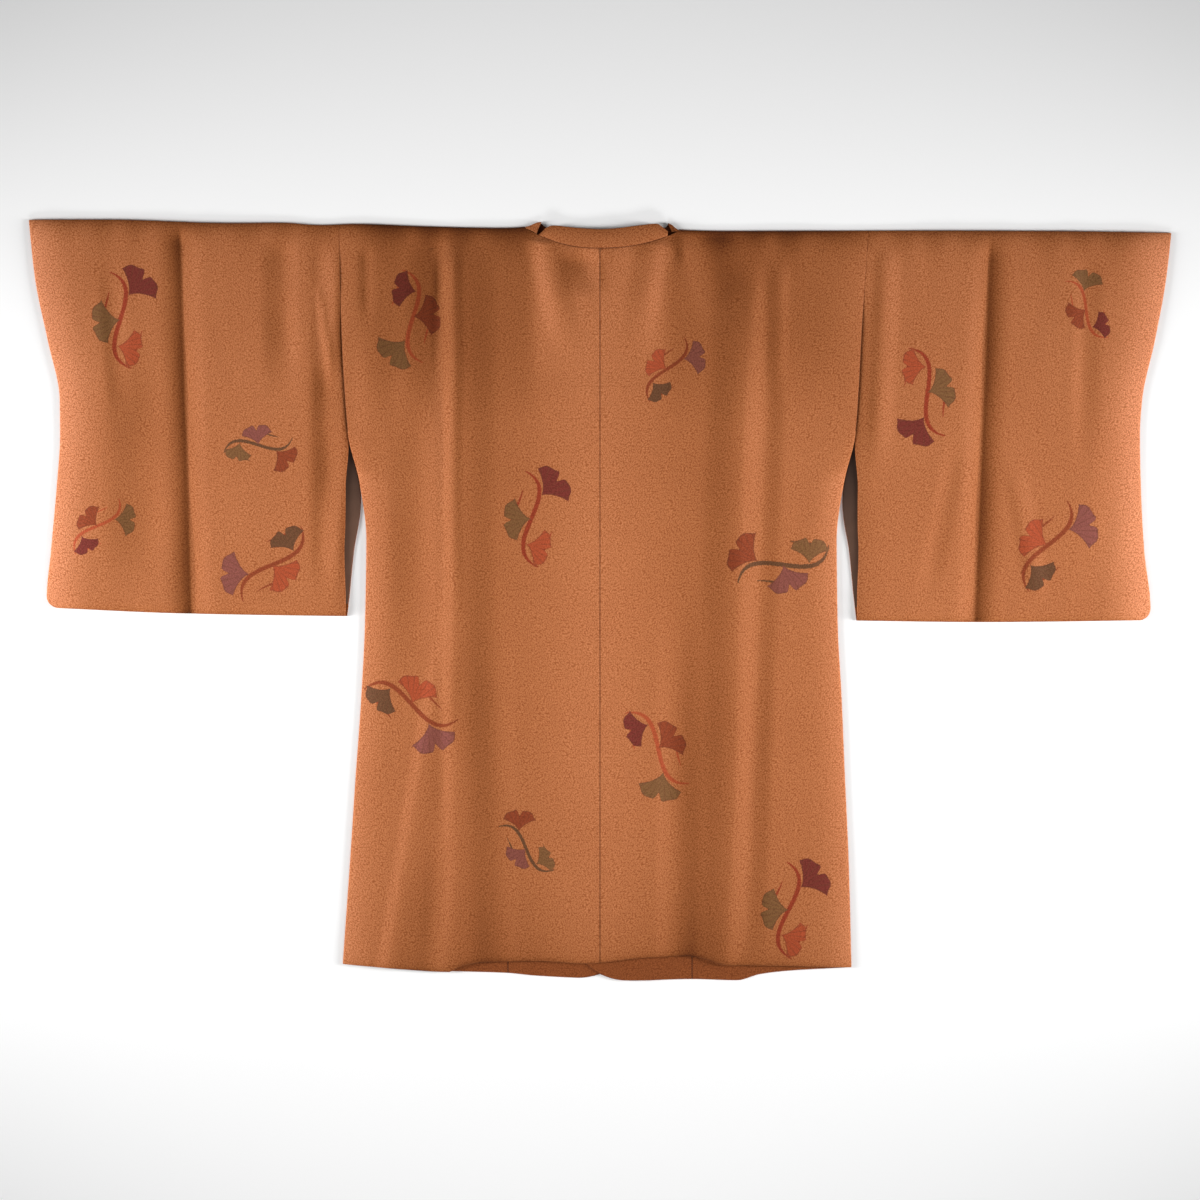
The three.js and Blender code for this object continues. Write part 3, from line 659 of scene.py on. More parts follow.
# x, y, half size, turn in degrees and colouring of the sprays on each layer of each piece
SPRAY_ROWS = {
    ("sleeve_left", Layer.BACK): [
        (-545, 318, 56, 20, 0), (-388, 176, 40, -70, 2), (-372, 40, 54, 150, 1), (-571, 84, 40, -30, 3),
    ],
    ("body_left", Layer.BACK): [
        (-212, 322, 54, 200, 3), (-78, 92, 55, 15, 0), (-214, -118, 56, -100, 1), (-84, -282, 40, 60, 2),
    ],
    ("body_right", Layer.BACK): [
        (76, 262, 42, -20, 1), (208, 40, 56, 120, 2), (66, -168, 54, 230, 3), (214, -352, 55, 10, 0),
    ],
    ("sleeve_right", Layer.BACK): [(372, 236, 54, -150, 0), (552, 330, 40, 45, 3), (508, 62, 56, -15, 1)],
    ("body_left", Layer.FRONT): [
        (-200, 250, 54, 30, 1), (-190, -40, 42, 170, 0), (-215, -300, 56, -60, 2),
    ],
    ("body_right", Layer.FRONT): [(200, 110, 56, 190, 3), (196, -210, 42, 20, 1)],
    ("sleeve_left", Layer.FRONT): [(-420, 300, 56, -35, 2), (-540, 90, 42, 100, 1)],
    ("sleeve_right", Layer.FRONT): [(400, 100, 56, 10, 3), (545, 300, 42, 210, 0)],
    ("front_band_left", Layer.FRONT): [(-30, 60, 55, 15, 3), (-45, -300, 42, 140, 0)],
}
SPRAYS = [Spray(*place, *row) for place, rows in SPRAY_ROWS.items() for row in rows]


def add_piece(name: str, cloth: Cloth, finishes: list[bpy.types.Material]) -> bpy.types.Object:
    """Makes a cloth's mesh, with its seam distances and spray coordinates, and hangs it in place.

    A face near a spray holds the spray's own coordinates at its corners: turned, and 1 at the
    spray's reach. All other faces hold a place far outside it.

    Args:
        name: name of the piece, which is its node's.
        cloth: the wall.
        finishes: the outer face's material, and the inner face's.

    Returns:
        The piece.
    """
    points, quads, part, layer = cloth.faces()
    mesh = bpy.data.meshes.new(name)
    mesh.from_pydata(points * MM, [], quads)
    mesh.polygons.foreach_set("material_index", (part == Face.INNER.value).astype(np.int32))
    tone = np.ones(cloth.seam.shape) if cloth.tone is None else cloth.tone
    for label, values in {"seam": cloth.seam, "tone": tone}.items():
        data = mesh.attributes.new(label, "FLOAT", "POINT").data
        data.foreach_set("value", np.tile(values.ravel(), 2).astype(np.float32))
    corners = points[quads][..., :2]
    local = np.full(corners.shape, NO_SPRAY)
    colours = np.zeros(len(quads), np.float32)
    for spray in (s for s in SPRAYS if s.piece == name):
        shift = corners - (spray.x, spray.y)
        near = np.abs(shift).max(axis=(1, 2)) < spray.reach * SPRAY_MARGIN
        near &= (part == Face.OUTER.value) & (layer == spray.layer.value)
        turn = math.radians(spray.turn)
        unturn = np.array([[math.cos(turn), -math.sin(turn)], [math.sin(turn), math.cos(turn)]])
        local[near] = (shift[near] @ unturn) / spray.reach
        colours[near] = spray.colours
    mesh.uv_layers.new(name="spray").uv.foreach_set("vector", local.astype(np.float32).ravel())
    mesh.attributes.new("colours", "FLOAT", "FACE").data.foreach_set("value", colours)
    for finish in finishes:
        mesh.materials.append(finish)
    mesh.shade_smooth()
    mesh.set_sharp_from_angle(angle=math.radians(60))
    mesh.update()
    piece = bpy.data.objects.new(name, mesh)
    bpy.context.scene.collection.objects.link(piece)
    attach(piece, "root")
    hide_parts(name)
    return piece


class Wiring:
    """Adds and joins the nodes of one tree."""

    def __init__(self, tree: bpy.types.NodeTree) -> None:
        """Starts on a tree."""
        self.tree = tree

    def add(self, kind: str, inputs: dict | None = None, **settings: object) -> bpy.types.Node:
        """Adds a node.

        Args:
            kind: the node's type.
            inputs: sockets or values for its inputs, by name or number.
            settings: properties of the node.

        Returns:
            The node.
        """
        node = self.tree.nodes.new(kind)
        for key, value in settings.items():
            setattr(node, key, value)
        self.fill(node.inputs, inputs or {})
        return node

    def fill(self, inputs: object, values: dict) -> None:
        """Fills inputs.

        Args:
            inputs: a node's inputs.
            values: sockets to join to them or values to give them, by name or number.
        """
        for key, value in values.items():
            if isinstance(value, bpy.types.NodeSocket):
                self.tree.links.new(value, inputs[key])
            else:
                inputs[key].default_value = value

    def attribute(self, name: str) -> bpy.types.NodeSocket:
        """Reads a number that the mesh holds."""
        return self.add("ShaderNodeAttribute", attribute_name=name).outputs["Fac"]

    def math(self, operation: str, *values: object) -> bpy.types.NodeSocket:
        """Adds a Math node and returns its output."""
        return self.add("ShaderNodeMath", dict(enumerate(values)), operation=operation).outputs[0]

    def times(self, a: object, b: object) -> bpy.types.NodeSocket:
        """Multiplies two values."""
        return self.math("MULTIPLY", a, b)

    def vector(self, operation: str, *values: object) -> bpy.types.NodeSocket:
        """Adds a Vector Math node and returns its vector."""
        return self.add("ShaderNodeVectorMath", dict(enumerate(values)), operation=operation).outputs[0]

    def noise(self, place: object, scale: float, detail: float) -> bpy.types.NodeSocket:
        """Adds a noise and returns its value."""
        inputs = {"Vector": place, "Scale": scale, "Detail": detail}
        return self.add("ShaderNodeTexNoise", inputs, noise_dimensions="2D").outputs["Fac"]

    def mapped(
        self, value: object, low: float, high: float, start: float = 0.0, end: float = 1.0
    ) -> bpy.types.NodeSocket:
        """Maps a range smoothly to another one, and stays within it."""
        inputs = {"Value": value, "From Min": low, "From Max": high, "To Min": start, "To Max": end}
        return self.add("ShaderNodeMapRange", inputs, interpolation_type="SMOOTHSTEP").outputs[0]

    def blend(self, factor: object, a: object, b: object, kind: str = "MIX") -> bpy.types.NodeSocket:
        """Mixes two colours."""
        node = self.add("ShaderNodeMix", {0: factor, 6: a, 7: b}, data_type="RGBA", blend_type=kind)
        return node.outputs[2]

    def ramp(self, value: object, colours: list[tuple], steps: bool = False) -> bpy.types.NodeSocket:
        """Adds a colour ramp.

        Args:
            value: where to read it, from 0 to 1.
            colours: its colours, evenly spaced.
            steps: whether they stand side by side or run into each other.

        Returns:
            The colour.
        """
        node = self.add("ShaderNodeValToRGB", {0: value})
        node.color_ramp.interpolation = "CONSTANT" if steps else "LINEAR"
        stops = node.color_ramp.elements
        while len(stops) < len(colours):
            stops.new(0.5)
        gaps = len(colours) if steps else len(colours) - 1
        for k, colour in enumerate(colours):
            stops[k].position = k / gaps
            stops[k].color = colour
        return node.outputs["Color"]


def new_group(name: str, inputs: dict[str, str], outputs: dict[str, str]) -> tuple[Wiring, object, object]:
    """Starts a shader group.

    Args:
        name: the group's name.
        inputs: its inputs and their socket types, Float, Vector or Color.
        outputs: its outputs, likewise.

    Returns:
        The wiring, what comes in, and the inputs of the output node.
    """
    tree = bpy.data.node_groups.new(name, "ShaderNodeTree")
    for way, sockets in {"INPUT": inputs, "OUTPUT": outputs}.items():
        for label, kind in sockets.items():
            tree.interface.new_socket(name=label, in_out=way, socket_type=f"NodeSocket{kind}")
    wiring = Wiring(tree)
    return wiring, wiring.add("NodeGroupInput").outputs, wiring.add("NodeGroupOutput").inputs


def new_material(name: str) -> tuple[bpy.types.Material, Wiring, bpy.types.Node]:
    """Starts a material.

    Args:
        name: the material's name.

    Returns:
        The material, its wiring and its shader.
    """
    material = bpy.data.materials.new(name)
    material.use_nodes = True
    return material, Wiring(material.node_tree), material.node_tree.nodes["Principled BSDF"]


def srgb(red: int, green: int, blue: int) -> tuple[float, float, float, float]:
    """A screen colour as the linear colour that a shader takes."""
    linear = [((c / 255 + 0.055) / 1.055) ** 2.4 if c > 10 else c / 255 / 12.92 for c in (red, green, blue)]
    return (*linear, 1.0)


RUST = srgb(144, 53, 32)
ORANGE = srgb(168, 74, 44)
BROWN = srgb(136, 60, 34)
MAUVE = srgb(132, 74, 67)
PLUM = srgb(110, 41, 37)
OLIVE = srgb(120, 84, 51)
GREY_OLIVE = srgb(97, 65, 43)
VEIN = srgb(96, 52, 36)
LEAF_RIM = srgb(90, 48, 34)
# One row for each cloth of a spray, one column for each of the four colourings
SPRAY_COLOURS = {
    "first leaf": [PLUM, MAUVE, BROWN, OLIVE],
    "second leaf": [OLIVE, ORANGE, MAUVE, BROWN],
    "third leaf": [ORANGE, GREY_OLIVE, OLIVE, PLUM],
    "stems": [RUST, BROWN, GREY_OLIVE, ORANGE],
}


class GinkgoWeave:
    """The woven ginkgo sprays, as shader groups."""

    @staticmethod
    def leaf() -> bpy.types.NodeTree:
        """Makes the group of one leaf.

        In polar coordinates round the foot of the leaf, its far edge is at a radius of 1 with a
        notch in the middle and a slight wave, and its sides lie at an angle that widens as the
        radius to the power 0.42. The depth inside both gives the leaf and its rim.

        Returns:
            The group. Rough shifts its edges, and its outputs are masks of the leaf, of its rim
            and of its veins.
        """
        inputs = {"Place": "Vector", "Foot": "Vector", "Turn": "Float", "Length": "Float", "Rough": "Float"}
        w, given, out = new_group("Ginkgo leaf", inputs, dict.fromkeys(("Leaf", "Rim", "Vein"), "Float"))
        shifted = w.vector("SUBTRACT", given["Place"], given["Foot"])
        turned = w.add(
            "ShaderNodeVectorRotate",
            {"Vector": shifted, "Angle": w.times(given["Turn"], -1.0)},
            rotation_type="Z_AXIS",
        ).outputs[0]
        parts = w.add("ShaderNodeSeparateXYZ", {0: turned}).outputs
        length = w.add("ShaderNodeVectorMath", {0: turned}, operation="LENGTH").outputs["Value"]
        radius = w.math("DIVIDE", length, given["Length"])
        angle = w.math("ARCTAN2", parts[1], parts[0])
        spread = w.math("ABSOLUTE", angle)
        squared = w.times(angle, angle)
        notch = w.times(w.math("EXPONENT", w.times(squared, -90.0)), -0.30)
        wave = w.times(w.math("SINE", w.math("MULTIPLY_ADD", angle, 11.0, 1.0)), 0.028)
        sag = w.times(squared, -0.10)
        far = w.math("ADD", w.math("ADD", notch, wave), w.math("ADD", sag, 1.0))
        from_far = w.math("SUBTRACT", far, radius)
        widest = w.times(w.math("POWER", radius, 0.42), 0.98)
        from_side = w.times(w.math("SUBTRACT", widest, spread), radius)
        depth = w.math("ADD", w.math("MINIMUM", from_far, from_side), given["Rough"])
        leaf = w.mapped(depth, 0.0, 0.02)
        rim = w.times(leaf, w.mapped(depth, 0.03, 0.06, 1.0, 0.0))
        ribs = w.mapped(w.math("COSINE", w.times(angle, 24.0)), 0.55, 0.98)
        w.fill(out, {"Leaf": leaf, "Rim": rim, "Vein": w.times(ribs, w.mapped(radius, 0.12, 0.4))})
        return w.tree

    @staticmethod
    def stem() -> bpy.types.NodeTree:
        """Makes the group of one stem.

        The stem follows x = Start + Slope y + Bend y^3 from y = Low to High, and is half as wide
        at its ends as in its middle.

        Returns:
            The group, whose output Stem is its mask.
        """
        numbers = ("Start", "Slope", "Bend", "Low", "High", "Width", "Rough")
        inputs = {"Place": "Vector", **dict.fromkeys(numbers, "Float")}
        w, given, out = new_group("Ginkgo stem", inputs, {"Stem": "Float"})
        parts = w.add("ShaderNodeSeparateXYZ", {0: given["Place"]}).outputs
        y = parts[1]
        bent = w.times(w.times(y, y), given["Bend"])
        line = w.math("MULTIPLY_ADD", y, w.math("ADD", bent, given["Slope"]), given["Start"])
        off = w.math("ABSOLUTE", w.math("SUBTRACT", parts[0], line))
        ends = {"Value": y, "From Min": given["Low"], "From Max": given["High"]}
        share = w.add("ShaderNodeMapRange", ends).outputs[0]
        swell = w.math("SINE", w.math("MULTIPLY_ADD", share, 2.3, 0.42))
        depth = w.math("SUBTRACT", w.math("MULTIPLY_ADD", given["Width"], swell, given["Rough"]), off)
        inside = w.times(w.math("GREATER_THAN", y, given["Low"]), w.math("LESS_THAN", y, given["High"]))
        w.fill(out, {"Stem": w.times(w.mapped(depth, 0.0, 0.015), inside)})
        return w.tree

    @classmethod
    def build(cls) -> bpy.types.NodeTree:
        """Makes the group of a whole spray: three leaves in front of their stems.

        Returns:
            The group. Its Place is in the spray's own coordinates.
        """
        leaf, stem = cls.leaf(), cls.stem()
        w, given, out = new_group(
            "Ginkgo spray",
            {"Place": "Vector", "Colouring": "Float", "Rough": "Float"},
            {"Colour": "Color", "Mask": "Float", "Rim": "Float"},
        )
        pick = w.math("MULTIPLY_ADD", given["Colouring"], 0.25, 0.125)
        shade = {name: w.ramp(pick, row, steps=True) for name, row in SPRAY_COLOURS.items()}
        shared = {"Place": given["Place"], "Rough": given["Rough"]}
        names = ("Start", "Slope", "Bend", "Low", "High", "Width")
        stems = [
            (0.0, 0.78, -0.66, -1.0, 0.98, 0.064), (0.60, 0.70, 0.10, -0.98, -0.36, 0.040),
            (-0.50, 0.9, -0.3, 0.10, 0.62, 0.034),
        ]
        mask = None
        for sizes in stems:
            bar = w.add("ShaderNodeGroup", {**shared, **dict(zip(names, sizes))}, node_tree=stem).outputs[0]
            mask = bar if mask is None else w.math("MAXIMUM", mask, bar)
        colour, rim = shade["stems"], None
        # Foot, turn in degrees and length of each leaf, from the back one to the front one
        leaves = [
            ("third leaf", (-0.26, -0.46), -32, 0.56), ("second leaf", (0.02, 0.0), 168, 0.62),
            ("first leaf", (0.30, 0.40), 28, 0.66),
        ]
        for name, foot, turn, length in leaves:
            values = {**shared, "Foot": (*foot, 0.0), "Turn": math.radians(turn), "Length": length}
            made = w.add("ShaderNodeGroup", values, node_tree=leaf).outputs
            veined = w.blend(w.times(made["Vein"], 0.35), shade[name], VEIN)
            colour = w.blend(made["Leaf"], colour, veined)
            mask = w.math("MAXIMUM", mask, made["Leaf"])
            if rim is None:
                rim = made["Rim"]
            else:
                seen = w.times(rim, w.math("SUBTRACT", 1.0, made["Leaf"]))
                rim = w.math("ADD", seen, made["Rim"])
        w.fill(out, {"Colour": colour, "Mask": mask, "Rim": rim})
        return w.tree


PEBBLES_ACROSS, PEBBLES_ALONG = 760.0, 520.0  # in a metre of crepe


def crepe_grain() -> bpy.types.NodeTree:
    """Makes the group of the crepe's grain.

    Upright pebbles of uneven length are the cells of a soft Voronoi pattern, stretched along the
    cloth and leaning towards the middle at the top, and a noise breaks them up.

    Returns:
        The group, with input Place in metres and outputs Height and Tone, both from 0 to 1.
    """
    w, given, out = new_group("Crepe grain", {"Place": "Vector"}, {"Height": "Float", "Tone": "Float"})
    parts = w.add("ShaderNodeSeparateXYZ", {0: given["Place"]}).outputs
    bend = w.noise(given["Place"], 60.0, 0.0)
    lean = w.math("MULTIPLY_ADD", bend, 0.009, w.times(parts[1], -0.3))
    leaning = w.math("ADD", w.math("ABSOLUTE", parts[0]), lean)
    scaled = {0: w.times(leaning, PEBBLES_ACROSS), 1: w.times(parts[1], PEBBLES_ALONG)}
    stretched = w.add("ShaderNodeCombineXYZ", scaled).outputs[0]
    cells = w.add(
        "ShaderNodeTexVoronoi", {"Vector": stretched, "Scale": 1.0, "Smoothness": 0.5, "Randomness": 1.0},
        feature="SMOOTH_F1", voronoi_dimensions="2D",
    ).outputs["Distance"]
    wrinkle = w.noise(stretched, 0.9, 1.0)
    bumps = w.mapped(cells, 0.05, 0.75, 1.0, 0.0)
    height = w.math("ADD", w.times(bumps, 0.55), w.times(wrinkle, 0.45))
    patch = w.noise(given["Place"], 9.0, 2.0)
    tone = w.math("ADD", w.math("MULTIPLY_ADD", height, 1.2, -0.21), w.times(patch, 0.15))
    w.fill(out, {"Height": height, "Tone": tone})
    return w.tree


@dataclass(frozen=True)
class Crepe:
    """A crepe's finish."""

    name: str
    low: tuple[float, float, float, float]
    middle: tuple[float, float, float, float]
    high: tuple[float, float, float, float]
    # colour of the seams' dark line, which is partly painted shade
    seam: tuple[float, float, float, float]
    sprays: bool
    smoothest: float = 0.74
    roughest: float = 0.88
    relief: float = 0.0003

    def material(self, grain: bpy.types.NodeTree, spray: bpy.types.NodeTree) -> bpy.types.Material:
        """Makes the material.

        The grain's tone picks among the three colours, the sprays and the seams' dark line lie over it, the
        seam line partly as painted shade, and the tone attribute, which is painted light and shade,
        multiplies red, and to a higher power green and blue.

        Args:
            grain: the crepe grain's group.
            spray: the ginkgo spray's group.

        Returns:
            The material.
        """
        material, w, shader = new_material(self.name)
        place = w.add("ShaderNodeTexCoord").outputs["Object"]
        cloth = w.add("ShaderNodeGroup", {"Place": place}, node_tree=grain).outputs
        colour = w.ramp(cloth["Tone"], [self.low, self.middle, self.high])
        height = cloth["Height"]
        if self.sprays:
            local = w.add("ShaderNodeUVMap", uv_map="spray").outputs[0]
            rough = w.math("MULTIPLY_ADD", w.noise(place, 900.0, 1.0), 0.05, -0.025)
            values = {"Place": local, "Colouring": w.attribute("colours"), "Rough": rough}
            woven = w.add("ShaderNodeGroup", values, node_tree=spray).outputs
            lit = w.mapped(cloth["Tone"], 0.1, 0.9, 0.82, 1.16)
            grained = w.blend(1.0, woven["Colour"], lit, "MULTIPLY")
            rimmed = w.blend(w.times(woven["Rim"], 0.4), grained, LEAF_RIM)
            colour = w.blend(w.times(woven["Mask"], 0.94), colour, rimmed)
        # Dark line along seams and free edges: partly the seams' own line, partly painted shade in their
        # recess
        colour = w.blend(w.mapped(w.attribute("seam"), 0.2, 1.3, 0.6, 0.0), colour, self.seam)
        # The tone attribute is painted light and shade; darker tones are also more saturated
        tone = w.attribute("tone")
        shader.inputs["Base Color"].default_value = self.middle
        deeper = {0: tone, 1: w.math("POWER", tone, 1.22), 2: w.math("POWER", tone, 1.8)}
        shaded = w.vector("MULTIPLY", colour, w.add("ShaderNodeCombineXYZ", deeper).outputs[0])
        bump = w.add("ShaderNodeBump", {"Height": height, "Distance": self.relief, "Strength": 0.8})
        w.fill(shader.inputs, {
            "Base Color": shaded,
            "Normal": bump.outputs[0],
            "Roughness": w.mapped(height, 0.0, 1.0, self.roughest, self.smoothest),
            "Sheen Weight": 0.03,
            "Sheen Roughness": 0.45,
            "Sheen Tint": (1.0, 0.78, 0.6, 1.0),
            "Specular IOR Level": 0.12,
        })
        return material


@dataclass(frozen=True)
class Lining:
    """The smooth lining's finish: a fine twill of slanting lines with a low sheen."""

    colour: tuple[float, float, float, float] = srgb(104, 73, 57)
    light: tuple[float, float, float, float] = srgb(124, 90, 72)
    relief: float = 0.00008

    def material(self) -> bpy.types.Material:
        """Makes the material, whose colour the tone attribute, painted light and shade, multiplies.

        Returns:
            The material.
        """
        material, w, shader = new_material("Lining")
        place = w.add("ShaderNodeTexCoord").outputs["Object"]
        wave = w.add(
            "ShaderNodeTexWave",
            {"Vector": place, "Scale": 420.0, "Distortion": 1.2, "Detail": 1.0},
            bands_direction="DIAGONAL",
        ).outputs["Fac"]
        patch = w.noise(place, 60.0, 2.0)
        tone = w.math("ADD", w.times(wave, 0.4), w.times(patch, 0.6))
        colour = w.vector("MULTIPLY", w.ramp(tone, [self.colour, self.light]), w.attribute("tone"))
        bump = w.add("ShaderNodeBump", {"Height": wave, "Distance": self.relief, "Strength": 0.5})
        w.fill(shader.inputs, {
            "Base Color": colour,
            "Normal": bump.outputs[0],
            "Roughness": 0.6,
            "Sheen Weight": 0.05,
            "Specular IOR Level": 0.2,
        })
        return material


def folded_cloth(
    half: Half,
    shares: np.ndarray,
    back_y: np.ndarray,
    front_y: np.ndarray,
    edges: Callable[[Layer, np.ndarray], tuple[np.ndarray, np.ndarray]],
    foot: Callable[[Layer, np.ndarray], np.ndarray],
    ridge: Reader,
    top: Callable[[np.ndarray, np.ndarray], np.ndarray],
    wall: float,
    lift: Callable[[np.ndarray, np.ndarray], np.ndarray] | None = None,
    fade: float = EDGE_ROWS,
) -> tuple[np.ndarray, int]:
    """Lays out a cloth that is folded over the shoulder line.

    Rows of the back rise from its foot to the fold, the fold is an arc that starts at the back's
    slope there and ends level, and rows of the front run down again. Rows near a curved edge
    shift with it, less and less over a fixed distance.

    Args:
        half: the half of the coat.
        shares: the columns, as shares from the inner edge to the outer.
        back_y: nominal heights of the back's rows, rising to the fold.
        front_y: the same for the front.
        edges: gives the inner and outer edge's x of a layer at a height.
        foot: gives the height of a layer's foot at an x.
        ridge: gives the height of the shoulder line at an x.
        top: gives the upper face of the back.
        wall: the wall's thickness.
        lift: gives how far the front is lifted off the surface, if it is.
        fade: how far from the fold the rows still follow it.

    Returns:
        The grid of middle points, and the number of its rows that are back.
    """
    top_y = back_y[-1]

    def plan(layer: Layer, rows: np.ndarray) -> tuple[np.ndarray, np.ndarray, np.ndarray, np.ndarray]:
        """Lays out one layer as seen from above.

        Args:
            layer: the layer.
            rows: nominal heights of its rows.

        Returns:
            The grid's x and y, the y at which each column runs into its fold, and the fold's radius.
        """
        nominal = rows[:, None]
        inner, outer = edges(layer, nominal)
        x = half.sign * mix(inner, outer, shares[None, :])
        over = ridge(x)
        radius = (top(x, over - wall) - wall) / (1 + math.cos(FOLD_START))
        fold_y = over - wall / 2 - radius * (1 - math.sin(FOLD_START))
        low = np.clip((rows[0] + EDGE_ROWS - nominal) / EDGE_ROWS, 0, 1)
        high = np.clip((nominal - top_y + fade) / fade, 0, 1)
        y = nominal + (foot(layer, x) - rows[0]) * low + (fold_y - top_y) * high
        return x, y, fold_y, radius

    x, y, fold_y, radius = plan(Layer.BACK, back_y)
    back = np.stack([x, y, top(x, y) - wall / 2], axis=2)[:-1]
    turn = np.linspace(FOLD_START, math.pi, FOLD_ROWS)[:, None]
    arc_x = np.broadcast_to(x[-1], (len(turn), len(shares)))
    arc_y = fold_y[-1] + radius[-1] * (np.sin(turn) - math.sin(FOLD_START))
    arc = np.stack([arc_x, arc_y, wall / 2 + radius[-1] * (1 + np.cos(turn))], axis=2)
    x, y, _, _ = plan(Layer.FRONT, front_y)
    rise = np.zeros_like(x) if lift is None else lift(x, y)
    front = np.stack([x, y, wall / 2 + rise], axis=2)[-2::-1]
    return np.concatenate([back, arc, front]), len(back) + len(turn) // 2


@dataclass
class Body:
    """The two body lengths, each from the back hem over the shoulder to the front hem."""

    step: float = 4.4
    front_steps: tuple[float, float] = (5.0, 9.0)  # near the front hem, and above it
    width: float = 285.0
    foot_y: float = -412.0
    # painted highlight along the free side
    painted_rim_light: tuple[float, float] = (0.26, 22)  # how much lighter the free side is, and how far in
    neck_rows: tuple[float, ...] = (
        0, 0.002, 0.01, 0.03, 0.06, 0.1, 0.16, 0.24, 0.34, 0.46, 0.6, 0.75, 0.88, 1,
    )
    flat: dict[Side, tuple[float, float]] = field(
        default_factory=lambda: {Side.LEFT: (0.30, 1.70), Side.RIGHT: (0.306, 1.70)}
    )

    def build(self, half: Half, outside: bpy.types.Material, inside: bpy.types.Material) -> bpy.types.Object:
        """Builds one body length.

        Args:
            half: the half of the coat.
            outside: the crepe's outer side.
            inside: its inner side.

        Returns:
            The piece.
        """
        shares = edge_stations(self.width, self.step)
        hem = self.foot_y + np.array([*RIM_STEPS, 6.0])
        neck_y = NECK_BACK_Y + (half.neck_top - NECK_BACK_Y) * np.array(self.neck_rows)
        back_y = np.concatenate([hem, np.arange(self.foot_y + 10, NECK_BACK_Y - 2, self.step), neck_y])
        low_front = np.arange(self.foot_y + 10, -350, self.front_steps[0])
        high_front = np.arange(-350, NECK_FOOT_Y - 4, self.front_steps[1])
        beside_neck = np.linspace(NECK_FOOT_Y, half.neck_top, 24)
        front_y = np.concatenate([hem, low_front, high_front, beside_neck])

        def edges(layer: Layer, y: np.ndarray) -> tuple[np.ndarray, np.ndarray]:
            """Gives the inner and the outer edge of a layer at a height."""
            inner = np.maximum(SEAM / 2, half.neck_edge(y)) if layer is Layer.BACK else half.front_edge(y)
            return inner, half.body_side(y)

        def foot(layer: Layer, x: np.ndarray) -> np.ndarray:
            """Gives the hem of a layer."""
            return BACK_HEM(x) if layer is Layer.BACK else FRONT_HEM(x)

        middle, back_rows = folded_cloth(
            half, shares, back_y, front_y, edges, foot, half.ridge,
            lambda x, y: Relief.body(half, x, y), WALL, hem_curl,
        )
        cloth = self.wall(half, shares, middle, back_rows)
        piece = add_piece(f"body_{half.side.word}", cloth, [outside, inside])
        return piece

    def wall(self, half: Half, shares: np.ndarray, middle: np.ndarray, back_rows: int) -> Cloth:
        """Gives the grid its thickness, its distances from the seams and its tone, which is painted light
        and shade.

        Args:
            half: the half of the coat.
            shares: the grid's columns, as shares of the width.
            middle: the grid.
            back_rows: how many of its rows are back.

        Returns:
            The cloth.
        """
        half_wall = folded_half_wall(len(middle), shares, self.width)
        x, y = np.abs(middle[..., 0]), middle[..., 1]
        on_back = (np.arange(len(middle)) < back_rows)[:, None]
        from_side = np.where(y > ARMHOLE_Y, half.body_side(y) - x + 0.8 * (1 - seam_depth(y)), NO_SEAM)
        from_neck = np.where(x < half.collar_peak + 4, half.neck_y(x) - y, NO_SEAM)
        inner = np.where(on_back, np.minimum(x, np.maximum(from_neck, 0.0)), x - half.front_edge(y))
        seam = np.maximum(np.minimum(from_side, inner), 0.0)

        def free_side(v: np.ndarray) -> np.ndarray:
            """Gives the side's distance from the middle, far out where it is sewn to the sleeve."""
            return half.body_side(v) + 80 * smooth((v - SIDE_SEAM_Y) / 60)

        at = middle[..., 0], middle[..., 1]
        # The back's tone is painted light and shade
        painted_shading = PaintedShading.tone(half, BODY_FOLDS, half.ridge, free_side, BACK_HEM, self.painted_rim_light, *at)
        tone = np.where(on_back, painted_shading, 1.0)
        return Cloth(middle, half_wall, half.sign < 0, seam, back_rows, tone)


def hem_curl(x: np.ndarray, y: np.ndarray) -> np.ndarray:
    """How far the fronts stand off the surface beside their hem: a little, in shallow waves."""
    near = smooth((FRONT_HEM(x) + 22 - y) / 22)
    return 0.45 * near * (1 + 0.8 * np.sin(x / 23) * np.cos(x / 61))


